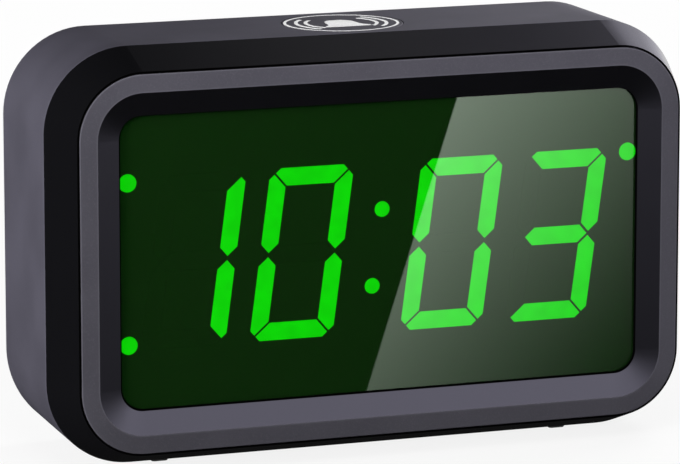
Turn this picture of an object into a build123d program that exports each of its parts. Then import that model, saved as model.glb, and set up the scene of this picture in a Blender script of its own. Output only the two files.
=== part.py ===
from build123d import *
import os
from math import atan, ceil, cos, degrees, pi, radians, sin, sqrt, tan

# Battery desk clock with a four-digit LED display, in millimetres.
# The origin is on the table under the middle of the case: +X is the viewer's right, +Y runs from
# the display to the back, and +Z is up. Depths are measured back from the bezel's front face, and
# rises from the middle of the case's height.

# Digits
digit_height = 30.1
digit_width = 15.3
digit_pitch = 19.6
colon_pitch = 27.75
digit_slant = 7.7
digit_row_shift = -0.37
digit_row_rise = -0.35
segment_width = 3.15
segment_gap = 0.3
segment_middle_gap = 0.66
segment_tip = 0.85
colon_dot_radius = 1.4
colon_dot_spacing = 13.45
indicator_radius = 1.6
indicator_drop = 0.95
indicator_inset = 1.56
indicator_shift = 0.5
lit_names = ("bc", "abcdef", "abcdef", "abcdg")

# Window, bezel and lens
window_side_margin = 4.48
window_end_margin = 10.5
window_corner_radius = 4.0
slope_inset = 4.1
slope_depth = 1.2
ring_width = 3.25
ring_thickness = 1.2
ring_edge_round = 0.25
lip_depth = 0.8
lens_thickness = 1.0
lens_overlap = 1.5
lens_clearance = 0.1
spigot_wall = 1.4
spigot_clearance = 0.15
hook_length = 7.0
hook_height = 1.0
hook_reach = 0.6
hook_spread = 26.0
hook_clearance = 0.05

# Housing
bevel_inset = 3.5
bevel_depth = 9.4
bevel_edge_round = 0.35
seam_gap = 0.15
seam_land = 0.15
seam_step = 0.15
wall = 2.0
shelf_thickness = 2.0
rear_edge_round = 0.3
lower_corner_ease = 1.65
boss_radius = 3.0
boss_floor = 1.5
boss_web = 2.4
boss_edge = 0.9

# Display module
display_gap = 0.1
reflector_overlap = 1.2
reflector_depth = 6.2
insert_depth = 1.6
insert_clearance = 0.04
board_thickness = 1.6
display_board_inset = 1.45
board_corner_radius = 1.5
post_radius = 2.2
post_clearance = 0.25
display_post_spacing = 32.0
peg_radius = 1.0
peg_inset = 3.45
peg_clearance = 0.1
peg_stand_off = 0.6
led_size = 1.6
led_height = 0.7

# Battery compartment
cell_count = 3
cell_diameter = 14.5
cell_length = 50.5
cell_nub_radius = 2.75
cell_nub_length = 1.0
cell_edge_round = 0.5
cell_spacing = 0.3
cell_clearance = 0.1
inner_gap = 4.5
tub_floor = 1.5
tub_wall = 1.6
tub_drop = 5.0
tub_boss_gap = 0.9
contact_thickness = 0.5
contact_size = 9.0
tab_width = 2.0
tab_reach = 2.2
tab_rise = 1.5
tab_clearance = 0.1
spring_length = 5.5
spring_radius = 3.0
spring_wire_radius = 0.3
spring_turns = 4.5
spring_end_gap = 0.02

# Rear cover and battery door
plate_thickness = 2.5
plate_clearance = 0.2
door_thickness = 2.4
door_clearance = 0.3
door_ledge = 0.8
door_gap = 0.25
door_seat_gap = 0.05
hinge_pin_radius = 0.7
hinge_pin_length = 1.6
hinge_clearance = 0.08
tongue_width = 14.0
tongue_length = 9.0
tongue_slit = 0.8
latch_lip_width = 10.0
latch_lip_height = 1.8
latch_lip_thickness = 1.2
latch_notch_radius = 8.0
latch_notch_clearance = 0.4
grip_groove_width = 0.7
grip_groove_depth = 0.4
grip_groove_pitch = 1.6
grip_groove_count = 3

# Push-buttons and their switches
key_radius = 3.2
key_proud = 0.8
key_clearance = 0.15
key_edge_round = 0.4
key_flange_radius = 4.4
key_flange_thickness = 1.0
key_stem_radius = 1.6
key_stem_length = 0.6
key_travel = 0.5
key_pitch_x = 13.0
key_pitch_z = 12.0
key_mid_rise = 1.5
switch_size = 6.0
switch_height = 3.4
plunger_radius = 1.7
plunger_clearance = 0.1
plunger_rise = 0.9
plunger_depth = 0.5
plunger_bore_spare = 0.2

# Control board
control_board_width = 25.0
control_board_height = 45.0
control_board_rise = -1.0
control_post_inset = 2.6
slide_rise = 17.5
slide_travel = 3.0
slide_can_width = 8.6
slide_can_height = 3.8
slide_can_depth = 3.6
slide_knob_width = 2.6
slide_knob_height = 2.4
slide_knob_entry = 0.8
slide_clearance = 0.2
slide_shield_thickness = 0.8
slide_shield_gap = 0.1
slide_shield_margin = 0.9
buzzer_rise = -15.5
buzzer_radius = 6.0
buzzer_gap = 0.5
buzzer_port_radius = 1.0
buzzer_port_depth = 1.0
sound_hole_radius = 0.6
sound_hole_circle = 2.6
sound_hole_count = 6
clock_chip_size = 9.0
clock_chip_height = 1.6
clock_chip_rise = -7.0
driver_chip_width = 17.9
driver_chip_height = 7.5
driver_chip_thickness = 1.6
crystal_radius = 1.5
crystal_length = 8.0
crystal_inset = 4.0
crystal_rise = -3.0
capacitor_radius = 2.5
capacitor_length = 7.0
capacitor_inset = 4.5
capacitor_rise = -14.0

# Snooze button
snooze_edge_margin = 1.75
snooze_gap = 0.15
snooze_edge_round = 0.12
snooze_cap_thickness = 1.2
snooze_stem_radius = 2.5
snooze_stem_length = 2.2
snooze_travel = 0.5
snooze_leg_width = 5.0
snooze_leg_thickness = 1.4
snooze_lug_reach = 1.2
snooze_lug_height = 1.2
snooze_lug_gap = 0.1
snooze_post_gap = 0.6
snooze_board_depth = 12.0
snooze_board_margin = 2.6

# Feet
foot_height = 0.9
foot_width = 4.2
foot_length = 9.0
foot_corner_radius = 1.2
foot_taper = 38.0
foot_spacing = 74.6
foot_inset = 6.3
foot_stem_radius = 1.2
foot_stem_stand_off = 0.8
foot_clearance = 0.05

# Screws
case_screw_radius = 1.05
case_screw_length = 10.0
case_screw_head_radius = 2.3
case_screw_head_height = 1.1
case_screw_sink = 0.15
board_screw_radius = 0.85
board_screw_length = 4.4
board_screw_head_radius = 1.8
board_screw_head_height = 1.2
screw_clearance = 0.05
screw_hole_clearance = 0.3
screw_pilot_spare = 0.8
screw_cross_width = 0.6
screw_cross_depth = 0.6
screw_cross_share = 0.6

# Wires
lead_radius = 0.7
lead_bend = 2.2
lead_tight_bend = 1.3
lead_board_inset = 7.0
lead_side_run = 3.0
snooze_lead_radius = 0.5
snooze_lead_bend = 2.0
snooze_lead_pitch = 2.0
snooze_lead_setback = 3.4
snooze_lead_edge = 0.95
snooze_lead_board_inset = 1.3
ribbon_width = 12.0
ribbon_thickness = 0.9
ribbon_offset = 3.0
ribbon_display_rise = 12.0
ribbon_control_rise = 4.0
ribbon_bend = 2.4
ribbon_run = 4.6

# Front-view sizes that follow
digit_lean = digit_height / 2 * tan(radians(digit_slant))
window_half_width = colon_pitch / 2 + digit_pitch + digit_width / 2 + digit_lean + window_side_margin
window_half_height = digit_height / 2 + window_end_margin
ring_growth = slope_inset + ring_width
case_growth = ring_growth + bevel_inset
cavity_growth = case_growth - wall
spigot_growth = lens_overlap + lens_clearance + spigot_wall
opening_growth = spigot_growth + spigot_clearance
case_half_height = window_half_height + case_growth
cavity_half_width = window_half_width + cavity_growth

# Depths that follow
shelf_back = ring_thickness + shelf_thickness
spigot_back = shelf_back + hook_clearance + hook_height
lens_front = slope_depth + lip_depth
lens_back = lens_front + lens_thickness
reflector_front = lens_back + display_gap
reflector_back = reflector_front + reflector_depth
display_board_back = reflector_back + board_thickness
tub_front = display_board_back + inner_gap
tub_inside = tub_front + tub_floor
cell_axis = tub_inside + cell_clearance + cell_diameter / 2
door_front = cell_axis + cell_diameter / 2 + door_clearance
case_depth = door_front + door_thickness
plate_front = case_depth - plate_thickness
overall_depth = case_depth + key_proud

# The shared frame
front_y = -overall_depth / 2
case_mid_z = foot_height + case_half_height
case_top_z = case_mid_z + case_half_height
inner_top_z = case_top_z - wall

# Places that follow
display_post_x = window_half_width + opening_growth + post_radius + post_clearance
corner_x = window_half_width - window_corner_radius
corner_z = window_half_height - window_corner_radius
cavity_corner_radius = window_corner_radius + cavity_growth
screw_head_hole = case_screw_head_radius + screw_hole_clearance
boss_setback = plate_clearance + boss_edge + screw_head_hole
boss_offset = (cavity_corner_radius - boss_setback) / sqrt(2)
boss_x = corner_x + boss_offset
boss_z = corner_z + boss_offset
case_screw_seat = case_depth - case_screw_sink - case_screw_head_height
case_pilot_front = case_screw_seat - case_screw_length - screw_pilot_spare
boss_spots = [(sx * boss_x, sz * boss_z) for sx in (-1, 1) for sz in (-1, 1)]
display_post_spots = [
    (sx * display_post_x, sz * display_post_spacing / 2) for sx in (-1, 1) for sz in (-1, 1)
]

cell_pitch = cell_diameter + cell_spacing
tub_left = boss_radius - boss_x + tub_boss_gap
tub_inner_left = tub_left + tub_wall
tub_inner_right = tub_inner_left + 2 * contact_thickness + cell_length + spring_length
tub_right = tub_inner_right + tub_wall
tub_half_height = cell_count * cell_pitch / 2
tub_mid_x = (tub_left + tub_right) / 2
tab_depth = tub_inside + tab_rise
door_half_width = (tub_inner_right - tub_inner_left) / 2 + door_ledge - door_gap
door_top = -tub_drop + tub_half_height + door_ledge - door_gap
hinge_depth = door_front + door_thickness / 2
hinge_rise = -tub_drop - tub_half_height - door_ledge + door_gap + door_thickness / 2

control_x = (tub_right + cavity_half_width) / 2
plunger_tip = plate_front - key_flange_thickness - key_stem_length
switch_face = plunger_tip - plunger_rise
control_board_rear = switch_face - switch_height
control_board_front = control_board_rear - board_thickness
control_left = control_x - control_board_width / 2
key_spots = {
    "time": (control_x - key_pitch_x / 2, control_board_rise + key_mid_rise + key_pitch_z / 2),
    "alarm": (control_x + key_pitch_x / 2, control_board_rise + key_mid_rise + key_pitch_z / 2),
    "hour": (control_x - key_pitch_x / 2, control_board_rise + key_mid_rise - key_pitch_z / 2),
    "minute": (control_x + key_pitch_x / 2, control_board_rise + key_mid_rise - key_pitch_z / 2),
}
slide_z = control_board_rise + slide_rise
slide_x = control_x - slide_travel / 2
buzzer_z = control_board_rise + buzzer_rise
control_post_spots = [
    (
        control_x + sx * (control_board_width / 2 - control_post_inset),
        control_board_rise + sz * (control_board_height / 2 - control_post_inset),
    )
    for sx in (-1, 1)
    for sz in (-1, 1)
]

snooze_depth = (bevel_depth + case_depth) / 2
snooze_radius = (case_depth - bevel_depth) / 2 - snooze_edge_margin
snooze_hole_radius = snooze_radius + snooze_gap
snooze_tip_z = case_top_z - snooze_cap_thickness - snooze_stem_length
snooze_switch_z = snooze_tip_z - plunger_rise
snooze_board_top_z = snooze_switch_z - switch_height
snooze_board_bottom_z = snooze_board_top_z - board_thickness
snooze_post_x = snooze_hole_radius + snooze_lug_reach + snooze_post_gap + post_radius
foot_spots = [
    (sx * foot_spacing / 2, depth)
    for sx in (-1, 1)
    for depth in (bevel_depth + foot_inset, case_depth - foot_inset)
]


def outline(growth):
    """Front-view outline concentric with the window, larger than it by growth on every side."""
    width = 2 * (window_half_width + growth)
    height = 2 * (window_half_height + growth)
    return RectangleRounded(width, height, window_corner_radius + growth)


def front_plane(depth):
    """Plane across the clock at a depth, facing the viewer."""
    return Plane((0, front_y + depth, case_mid_z), x_dir=(1, 0, 0), z_dir=(0, -1, 0))


def slab(sketch, near, far):
    """Front-view sketch made solid between two depths, whichever way its face points."""
    plane = front_plane(far)
    return extrude(plane * sketch, amount=far - near, dir=plane.z_dir)


def tapered_slab(growth, near, far, inset):
    """Outline at the far depth that draws in by inset on its way to the near depth."""
    angle = degrees(atan(inset / (far - near)))
    return extrude(front_plane(far) * outline(growth), amount=far - near, taper=angle)


def rod(spot, radius, near, far):
    """Round bar along the depth, at a front-view spot."""
    return slab(Pos(*spot) * Circle(radius), near, far)


def block(left, right, near, far, bottom, top):
    """Box between two sides, two depths and two heights above the middle of the case."""
    centre = Pos((left + right) / 2, front_y + (near + far) / 2, case_mid_z + (bottom + top) / 2)
    return centre * Box(right - left, far - near, top - bottom)


def cross_bar(radius, left, right, depth, rise):
    """Round bar along X."""
    plane = Plane((left, front_y + depth, case_mid_z + rise), z_dir=(1, 0, 0))
    return extrude(plane * Circle(radius), amount=right - left)


def upright(x, depth, radius, bottom_z, top_z):
    """Round bar along Z."""
    return extrude(Plane((x, front_y + depth, bottom_z)) * Circle(radius), amount=top_z - bottom_z)


def upright_block(x, depth, width, length, bottom_z, top_z):
    """Box on a top-view spot between two heights above the table."""
    centre = Pos(x, front_y + depth, (bottom_z + top_z) / 2)
    return centre * Box(width, length, top_z - bottom_z)


def tube(points, bends, radius):
    """Wire along points given as (x, depth, height above the middle), with rounded corners."""
    spots = [(x, front_y + depth, case_mid_z + rise) for x, depth, rise in points]
    path = FilletPolyline(*spots, radius=bends)
    start = Plane(path @ 0, z_dir=path % 0)
    return sweep(start * Circle(radius), path=path)


def group(solids):
    """Separate solids kept in one node."""
    return Compound([solid for piece in solids for solid in piece.solids()])


def segment_points(name):
    """Corners of one upright segment, about the middle of its digit."""
    half_w = digit_width / 2
    half_h = digit_height / 2
    width = segment_width
    shift = segment_gap / sqrt(2)
    middle = segment_middle_gap / 2
    tip = segment_tip
    if name in "ad":
        points = [
            (-half_w + shift + 2 * tip, half_h),
            (half_w - shift - 2 * tip, half_h),
            (half_w - shift - tip, half_h - tip),
            (half_w - shift - width, half_h - width),
            (-half_w + shift + width, half_h - width),
            (-half_w + shift + tip, half_h - tip),
        ]
    elif name == "g":
        inner = half_w - width - shift
        points = [
            (-inner - width / 2, 0),
            (-inner, width / 2),
            (inner, width / 2),
            (inner + width / 2, 0),
            (inner, -width / 2),
            (-inner, -width / 2),
        ]
    else:
        points = [
            (-half_w, half_h - shift - 2 * tip),
            (-half_w + tip, half_h - shift - tip),
            (-half_w + width, half_h - shift - width),
            (-half_w + width, width / 2 + middle),
            (-half_w + width / 2, middle),
            (-half_w, width / 2 + middle),
        ]
    flip_x = -1 if name in "bc" else 1
    flip_z = -1 if name in "cde" else 1
    turned = [(flip_x * x, flip_z * z) for x, z in points]
    return turned if flip_x == flip_z else turned[::-1]


def slanted(x, z):
    """Lean a point of an upright digit to the right."""
    return x + z * tan(radians(digit_slant)), z


def digit_centres():
    """Middles of the four digits along the row."""
    inner = colon_pitch / 2
    outer = inner + digit_pitch
    return [digit_row_shift + x for x in (-outer, -inner, inner, outer)]


def segment_sketches(lit):
    """Outlines of all lit segments, or of all dark ones."""
    sketches = []
    for centre, names in zip(digit_centres(), lit_names):
        for name in "abcdefg":
            if (name in names) == lit:
                points = [slanted(*point) for point in segment_points(name)]
                sketches.append(Pos(centre, digit_row_rise) * Polygon(*points, align=None))
    return sketches


def colon_sketches():
    """Outlines of the two dots between the digit pairs."""
    row = Pos(digit_row_shift, digit_row_rise)
    half = colon_dot_spacing / 2
    return [row * Pos(*slanted(0, rise)) * Circle(colon_dot_radius) for rise in (half, -half)]


def indicator_sketches():
    """Outlines of the three dots at the sides of the window."""
    row = Pos(indicator_shift, digit_row_rise)
    x = window_half_width - indicator_inset
    z = digit_height / 2 - indicator_drop
    return [row * Pos(*spot) * Circle(indicator_radius) for spot in ((-x, z), (-x, -z), (x, z))]


def aperture_sketches():
    """Every opening in the reflector's face."""
    return segment_sketches(True) + segment_sketches(False) + colon_sketches() + indicator_sketches()


def inserts(sketches):
    """Light-pipe inserts that fill the front of their apertures."""
    far = reflector_front + insert_depth
    return group(
        slab(offset(sketch, -insert_clearance, kind=Kind.INTERSECTION), reflector_front, far)
        for sketch in sketches
    )


def screw(length, radius, head_radius, head_height):
    """Pan-head screw along Z with its head's underside at the origin and its shank below."""
    head = extrude(Circle(head_radius), amount=head_height)
    crown = head.edges().sort_by(Axis.Z)[-1]
    head = fillet(crown, head_height / 3)
    shank = extrude(Circle(radius), amount=-length)
    arm = 2 * head_radius * screw_cross_share
    cut_z = head_height - screw_cross_depth / 2
    cross = Pos(0, 0, cut_z) * Box(arm, screw_cross_width, screw_cross_depth)
    cross += Pos(0, 0, cut_z) * Box(screw_cross_width, arm, screw_cross_depth)
    return head + shank - cross


def case_screw():
    """Screw that holds the rear cover."""
    return screw(case_screw_length, case_screw_radius, case_screw_head_radius, case_screw_head_height)


def board_screw():
    """Screw that holds a circuit board."""
    return screw(
        board_screw_length, board_screw_radius, board_screw_head_radius, board_screw_head_height
    )


def facing_back(spot, depth):
    """Plane whose normal points out of the back of the clock."""
    x, rise = spot
    return Plane((x, front_y + depth, case_mid_z + rise), x_dir=(1, 0, 0), z_dir=(0, 1, 0))


def facing_front(spot, depth):
    """Plane whose normal points at the viewer."""
    x, rise = spot
    return Plane((x, front_y + depth, case_mid_z + rise), x_dir=(1, 0, 0), z_dir=(0, -1, 0))


def edges_at_depth(solid, depth):
    """Edges that lie wholly at one depth."""
    y = front_y + depth
    tolerance = 0.001
    return [
        edge
        for edge in solid.edges()
        if abs(edge.bounding_box().min.Y - y) < tolerance and abs(edge.bounding_box().max.Y - y) < tolerance
    ]


def boss_sketch(x, z):
    """Round screw boss with a web that runs out into the middle of the corner's wall."""
    length = boss_setback + wall / 2
    turn = degrees(atan(z / abs(z) * x / abs(x)))
    reach = length / 2 / sqrt(2)
    web_spot = (x + reach * x / abs(x), z + reach * z / abs(z))
    web = Pos(*web_spot) * Rot(0, 0, turn) * Rectangle(length, boss_web)
    return Pos(x, z) * Circle(boss_radius) + web


def sleeve_section(lower_ease, depth):
    """Outer outline of the sleeve at a depth, its lower corners rounder than the upper ones."""
    radius = window_corner_radius + case_growth
    sketch = Rectangle(2 * (window_half_width + case_growth), 2 * case_half_height)
    sketch = fillet(sketch.vertices().group_by(Axis.Y)[-1], radius)
    sketch = fillet(sketch.vertices().group_by(Axis.Y)[0], radius + lower_ease)
    return front_plane(depth) * sketch


def main_housing():
    """Sleeve with a bevelled front, a shelf for the bezel, screw bosses and board posts."""
    bevel_run = bevel_depth - seam_step
    bevel_draw = bevel_inset - seam_gap - seam_land
    sections = [sleeve_section(lower_corner_ease, case_depth), sleeve_section(0, bevel_depth)]
    body = loft(sections, ruled=True)
    body += tapered_slab(case_growth, seam_step, bevel_depth, bevel_draw)
    body = fillet(edges_at_depth(body, bevel_depth), bevel_edge_round)
    body = fillet(edges_at_depth(body, case_depth), rear_edge_round)

    cavity_draw = bevel_draw * (bevel_depth - shelf_back) / bevel_run
    shell = body - slab(outline(cavity_growth), bevel_depth, case_depth)
    shell -= tapered_slab(cavity_growth, shelf_back, bevel_depth, cavity_draw)
    shell -= slab(outline(ring_growth + seam_gap), 0, ring_thickness)
    shell -= slab(outline(opening_growth), ring_thickness, shelf_back)

    posts = [slab(boss_sketch(*spot), case_pilot_front - boss_floor, plate_front) for spot in boss_spots]
    posts += [rod(spot, post_radius, shelf_back, reflector_back) & body for spot in display_post_spots]
    for sx in (-1, 1):
        posts.append(upright(sx * snooze_post_x, snooze_depth, post_radius, snooze_board_top_z, inner_top_z))
    shell += posts

    holes = []
    pilot_radius = case_screw_radius + screw_clearance
    holes += [rod(spot, pilot_radius, case_pilot_front, plate_front) for spot in boss_spots]
    pilot_radius = board_screw_radius + screw_clearance
    pilot_length = board_screw_length - board_thickness + screw_pilot_spare
    for spot in display_post_spots:
        holes.append(rod(spot, pilot_radius, reflector_back - pilot_length, reflector_back))
    for sx in (-1, 1):
        top_z = snooze_board_top_z + pilot_length
        holes.append(upright(sx * snooze_post_x, snooze_depth, pilot_radius, snooze_board_top_z, top_z))
    for x, depth in foot_spots:
        holes.append(
            upright(x, depth, foot_stem_radius + foot_clearance, foot_height, foot_height + wall)
        )
    holes.append(upright(0, snooze_depth, snooze_hole_radius, inner_top_z, case_top_z))
    return shell - holes


def front_bezel():
    """Ring that lies on the housing's shelf, with a sloped inner edge and a hooked spigot."""
    bezel = slab(outline(ring_growth), 0, ring_thickness)
    bezel += slab(outline(spigot_growth), ring_thickness, spigot_back)
    slope_angle = degrees(atan(slope_inset / slope_depth))
    facing_in = Plane((0, front_y, case_mid_z), x_dir=(1, 0, 0), z_dir=(0, 1, 0))
    bezel -= extrude(facing_in * outline(slope_inset), amount=slope_depth, taper=slope_angle)
    bezel -= slab(outline(0), 0, lens_front)
    bezel -= slab(outline(lens_overlap + lens_clearance), lens_front, spigot_back)
    bezel = fillet(edges_at_depth(bezel, 0), ring_edge_round)

    spigot_x = window_half_width + spigot_growth
    spigot_z = window_half_height + spigot_growth
    near = shelf_back + hook_clearance
    half = hook_length / 2
    root = spigot_wall / 2
    hooks = []
    for side in (-1, 1):
        low, high = sorted((side * (spigot_x - root), side * (spigot_x + hook_reach)))
        hooks.append(block(low, high, near, spigot_back, -half, half))
        low, high = sorted((side * (spigot_z - root), side * (spigot_z + hook_reach)))
        for x in (-hook_spread, hook_spread):
            hooks.append(block(x - half, x + half, near, spigot_back, low, high))
    return bezel + hooks


def display_lens():
    """Tinted pane held between the bezel's lip and the reflector."""
    return slab(outline(lens_overlap), lens_front, lens_back)


def peg_spots():
    """Pins that place the reflector on its board."""
    x = window_half_width + reflector_overlap - peg_inset
    z = window_half_height + reflector_overlap - peg_inset
    return [(sx * x, sz * z) for sx in (-1, 1) for sz in (-1, 1)]


def display_reflector():
    """Block with an aperture through it for each segment and dot."""
    face = outline(reflector_overlap) - aperture_sketches()
    body = slab(face, reflector_front, reflector_back)
    far = display_board_back + peg_stand_off
    return body + [rod(spot, peg_radius, reflector_back, far) for spot in peg_spots()]


def lit_segments():
    """Segments that show the time."""
    return inserts(segment_sketches(True))


def unlit_segments():
    """Segments that are dark."""
    return inserts(segment_sketches(False))


def colon_dots():
    """Dots between hours and minutes."""
    return inserts(colon_sketches())


def indicator_dots():
    """Small alarm and half-day dots."""
    return inserts(indicator_sketches())


def led_chips():
    """One LED on the board behind each insert."""
    near = reflector_back - led_height
    chips = []
    for sketch in aperture_sketches():
        centre = sketch.center()
        square = Pos(centre.X, centre.Y) * Rectangle(led_size, led_size)
        chips.append(slab(square, near, reflector_back))
    return group(chips)


def display_board():
    """Circuit board behind the reflector, screwed to the housing's posts."""
    width = 2 * (display_post_x + post_radius)
    height = 2 * (window_half_height + reflector_overlap - display_board_inset)
    face = RectangleRounded(width, height, board_corner_radius)
    face -= [Pos(*spot) * Circle(board_screw_radius + screw_hole_clearance) for spot in display_post_spots]
    face -= [Pos(*spot) * Circle(peg_radius + peg_clearance) for spot in peg_spots()]
    return slab(face, reflector_back, display_board_back)


def display_board_screws():
    """Four screws into the display posts."""
    return group(facing_back(spot, display_board_back) * board_screw() for spot in display_post_spots)


def driver_chip():
    """Display driver on the back of the display board."""
    half_w = driver_chip_width / 2
    half_h = driver_chip_height / 2
    far = display_board_back + driver_chip_thickness
    return block(-half_w, half_w, display_board_back, far, -half_h, half_h)


def cell_rise(index):
    """Height of a cell's axis, the first cell on top."""
    return -tub_drop + (cell_count - 1) / 2 * cell_pitch - index * cell_pitch


def cell_side(index):
    """Side that a cell's positive end faces: cells alternate."""
    return 1 if index % 2 == 0 else -1


def rear_cover():
    """Back plate with the battery tub, the button holes and the control board's posts."""
    low = -tub_drop - tub_half_height
    high = -tub_drop + tub_half_height
    cover = slab(outline(cavity_growth - plate_clearance), plate_front, case_depth)
    cover += block(tub_left, tub_right, tub_front, plate_front, low - tub_wall, high + tub_wall)
    cover -= block(tub_inner_left, tub_inner_right, tub_inside, case_depth, low, high)
    cover -= block(
        tub_inner_left - door_ledge,
        tub_inner_right + door_ledge,
        door_front - door_seat_gap,
        case_depth,
        low - door_ledge,
        high + door_ledge,
    )
    cover += [rod(spot, post_radius, control_board_rear, plate_front) for spot in control_post_spots]

    cuts = []
    socket_end = hinge_pin_length + hinge_clearance
    cuts.append(
        cross_bar(
            hinge_pin_radius + hinge_clearance,
            tub_inner_left - door_ledge - socket_end,
            tub_inner_right + door_ledge + socket_end,
            hinge_depth,
            hinge_rise,
        )
    )
    notch_floor = case_depth - latch_lip_thickness - latch_notch_clearance
    cuts.append(rod((tub_mid_x, high + door_ledge), latch_notch_radius, notch_floor, case_depth))
    for spot in boss_spots:
        cuts.append(rod(spot, case_screw_radius + screw_hole_clearance, plate_front, case_depth))
        cuts.append(rod(spot, screw_head_hole, case_screw_seat, case_depth))
    pilot_length = board_screw_length - board_thickness + screw_pilot_spare
    pilot_far = control_board_rear + pilot_length
    for spot in control_post_spots:
        cuts.append(rod(spot, board_screw_radius + screw_clearance, control_board_rear, pilot_far))
    for spot in key_spots.values():
        cuts.append(rod(spot, key_radius + key_clearance, plate_front, case_depth))
    slot_half = slide_slot_half_width()
    slot_rise = slide_knob_height / 2 + slide_clearance
    cuts.append(
        block(
            control_x - slot_half,
            control_x + slot_half,
            plate_front,
            case_depth,
            slide_z - slot_rise,
            slide_z + slot_rise,
        )
    )
    cuts.append(rod((control_x, buzzer_z), sound_hole_radius, plate_front, case_depth))
    for turn in range(sound_hole_count):
        angle = 2 * pi * turn / sound_hole_count
        spot = (
            control_x + sound_hole_circle * cos(angle),
            buzzer_z + sound_hole_circle * sin(angle),
        )
        cuts.append(rod(spot, sound_hole_radius, plate_front, case_depth))
    cuts += [tab_block(side, tab_clearance) for side in (-1, 1)]
    return cover - cuts


def slide_slot_half_width():
    """Half the length of the slot that the slide knob runs in."""
    return (slide_knob_width + slide_travel) / 2 + slide_clearance


def rear_cover_screws():
    """Four screws through the rear cover into the housing's bosses."""
    return group(facing_back(spot, case_screw_seat) * case_screw() for spot in boss_spots)


def battery_door():
    """Door over the cells, on two round pins at its lower edge, with a springy latch tongue."""
    left = tub_mid_x - door_half_width
    right = tub_mid_x + door_half_width
    door = block(left, right, door_front, case_depth, hinge_rise, door_top)
    door += cross_bar(door_thickness / 2, left, right, hinge_depth, hinge_rise)
    pin_run = door_gap + hinge_pin_length
    door += cross_bar(hinge_pin_radius, left - pin_run, right + pin_run, hinge_depth, hinge_rise)
    half_lip = latch_lip_width / 2
    lip_top = door_top + latch_lip_height
    lip_front = case_depth - latch_lip_thickness
    door += block(tub_mid_x - half_lip, tub_mid_x + half_lip, lip_front, case_depth, door_top, lip_top)
    cuts = []
    for side in (-1, 1):
        x = tub_mid_x + side * (tongue_width + tongue_slit) / 2
        half = tongue_slit / 2
        cuts.append(block(x - half, x + half, door_front, case_depth, door_top - tongue_length, door_top))
    for index in range(grip_groove_count):
        rise = door_top - (index + 1) * grip_groove_pitch
        half = grip_groove_width / 2
        near = case_depth - grip_groove_depth
        cuts.append(
            block(tub_mid_x - half_lip, tub_mid_x + half_lip, near, case_depth, rise - half, rise + half)
        )
    return door - cuts


def aa_cells():
    """Round cells, laid one above the other and turned end for end."""
    cells = []
    body_length = cell_length - cell_nub_length
    for index in range(cell_count):
        rise = cell_rise(index)
        if cell_side(index) > 0:
            tip = tub_inner_right - contact_thickness
            ends = (tip - cell_length, tip - cell_nub_length)
            nub = (tip - cell_nub_length, tip)
        else:
            tip = tub_inner_left + contact_thickness
            ends = (tip + cell_nub_length, tip + cell_length)
            nub = (tip, tip + cell_nub_length)
        can = cross_bar(cell_diameter / 2, ends[0], ends[0] + body_length, cell_axis, rise)
        can = fillet(can.edges().filter_by(GeomType.CIRCLE), cell_edge_round)
        cells.append(can + cross_bar(cell_nub_radius, nub[0], nub[1], cell_axis, rise))
    return group(cells)


def spring_point(turn, pitch):
    """Point and direction on a spring's helix about X, with turn counted in whole turns."""
    angle = 2 * pi * turn
    point = Vector(pitch * turn, spring_radius * cos(angle), spring_radius * sin(angle))
    run = 2 * pi * spring_radius
    direction = Vector(pitch, -run * sin(angle), run * cos(angle)).normalized()
    return point, direction


def two_arcs(start, start_way, end, end_way):
    """Two circular arcs that leave start and reach end in the given directions."""
    chord = end - start
    both = start_way + end_way
    lack = 2 * (1 - start_way.dot(end_way))
    lean = chord.dot(both)
    reach = (sqrt(lean * lean + lack * chord.dot(chord)) - lean) / lack
    joint = (start + end + (start_way - end_way) * reach) * 0.5
    way = (end - end_way * reach - start - start_way * reach).normalized()
    return [TangentArc(start, joint, tangent=start_way), TangentArc(joint, end, tangent=way)]


def spring_pitch():
    """Distance between turns of a battery spring squeezed to its place."""
    return (spring_length - 2 * (spring_wire_radius + spring_end_gap)) / spring_turns


def coil_spring():
    """Battery spring along X, from its first wire centre at the origin."""
    pitch = spring_pitch()
    steps = ceil(spring_turns * 4)
    stations = [spring_point(spring_turns * step / steps, pitch) for step in range(steps + 1)]
    arcs = []
    for (start, start_way), (end, end_way) in zip(stations, stations[1:]):
        arcs += two_arcs(start, start_way, end, end_way)
    first, way = stations[0]
    return sweep(Plane(first, z_dir=way) * Circle(spring_wire_radius), path=Wire(arcs))


def spring_least_gap():
    """Least clear distance from one turn of a spring to the next, measured on points."""
    per_turn = 48
    count = round(spring_turns * per_turn)
    points = [spring_point(index / per_turn, spring_pitch())[0] for index in range(count + 1)]
    distances = [
        (points[far] - points[near]).length
        for near in range(count + 1)
        for far in range(near + per_turn // 2, count + 1)
    ]
    return min(distances) - 2 * spring_wire_radius


def battery_springs():
    """A coil spring at each cell's flat end."""
    coil = coil_spring()
    lead_in = contact_thickness + spring_wire_radius + spring_end_gap
    springs = []
    for index in range(cell_count):
        if cell_side(index) > 0:
            x = tub_inner_left + lead_in
        else:
            x = tub_inner_right - contact_thickness - spring_length + spring_wire_radius + spring_end_gap
        place = Pos(x, front_y + cell_axis, case_mid_z + cell_rise(index))
        springs.append(place * coil)
    return group(springs)


def end_cell(side):
    """Cell whose contact on a side is one end of the battery: the first or the last."""
    return 0 if side > 0 else cell_count - 1


def tab_block(side, clearance):
    """Solder tab through the tub's end wall, or with a clearance, the slot for it."""
    rise = cell_rise(end_cell(side))
    half = tab_width / 2 + clearance
    half_depth = contact_thickness / 2 + clearance
    if side > 0:
        ends = (tub_inner_right, tub_right + tab_reach)
    else:
        ends = (tub_left - tab_reach, tub_inner_left)
    return block(*ends, tab_depth - half_depth, tab_depth + half_depth, rise - half, rise + half)


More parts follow.
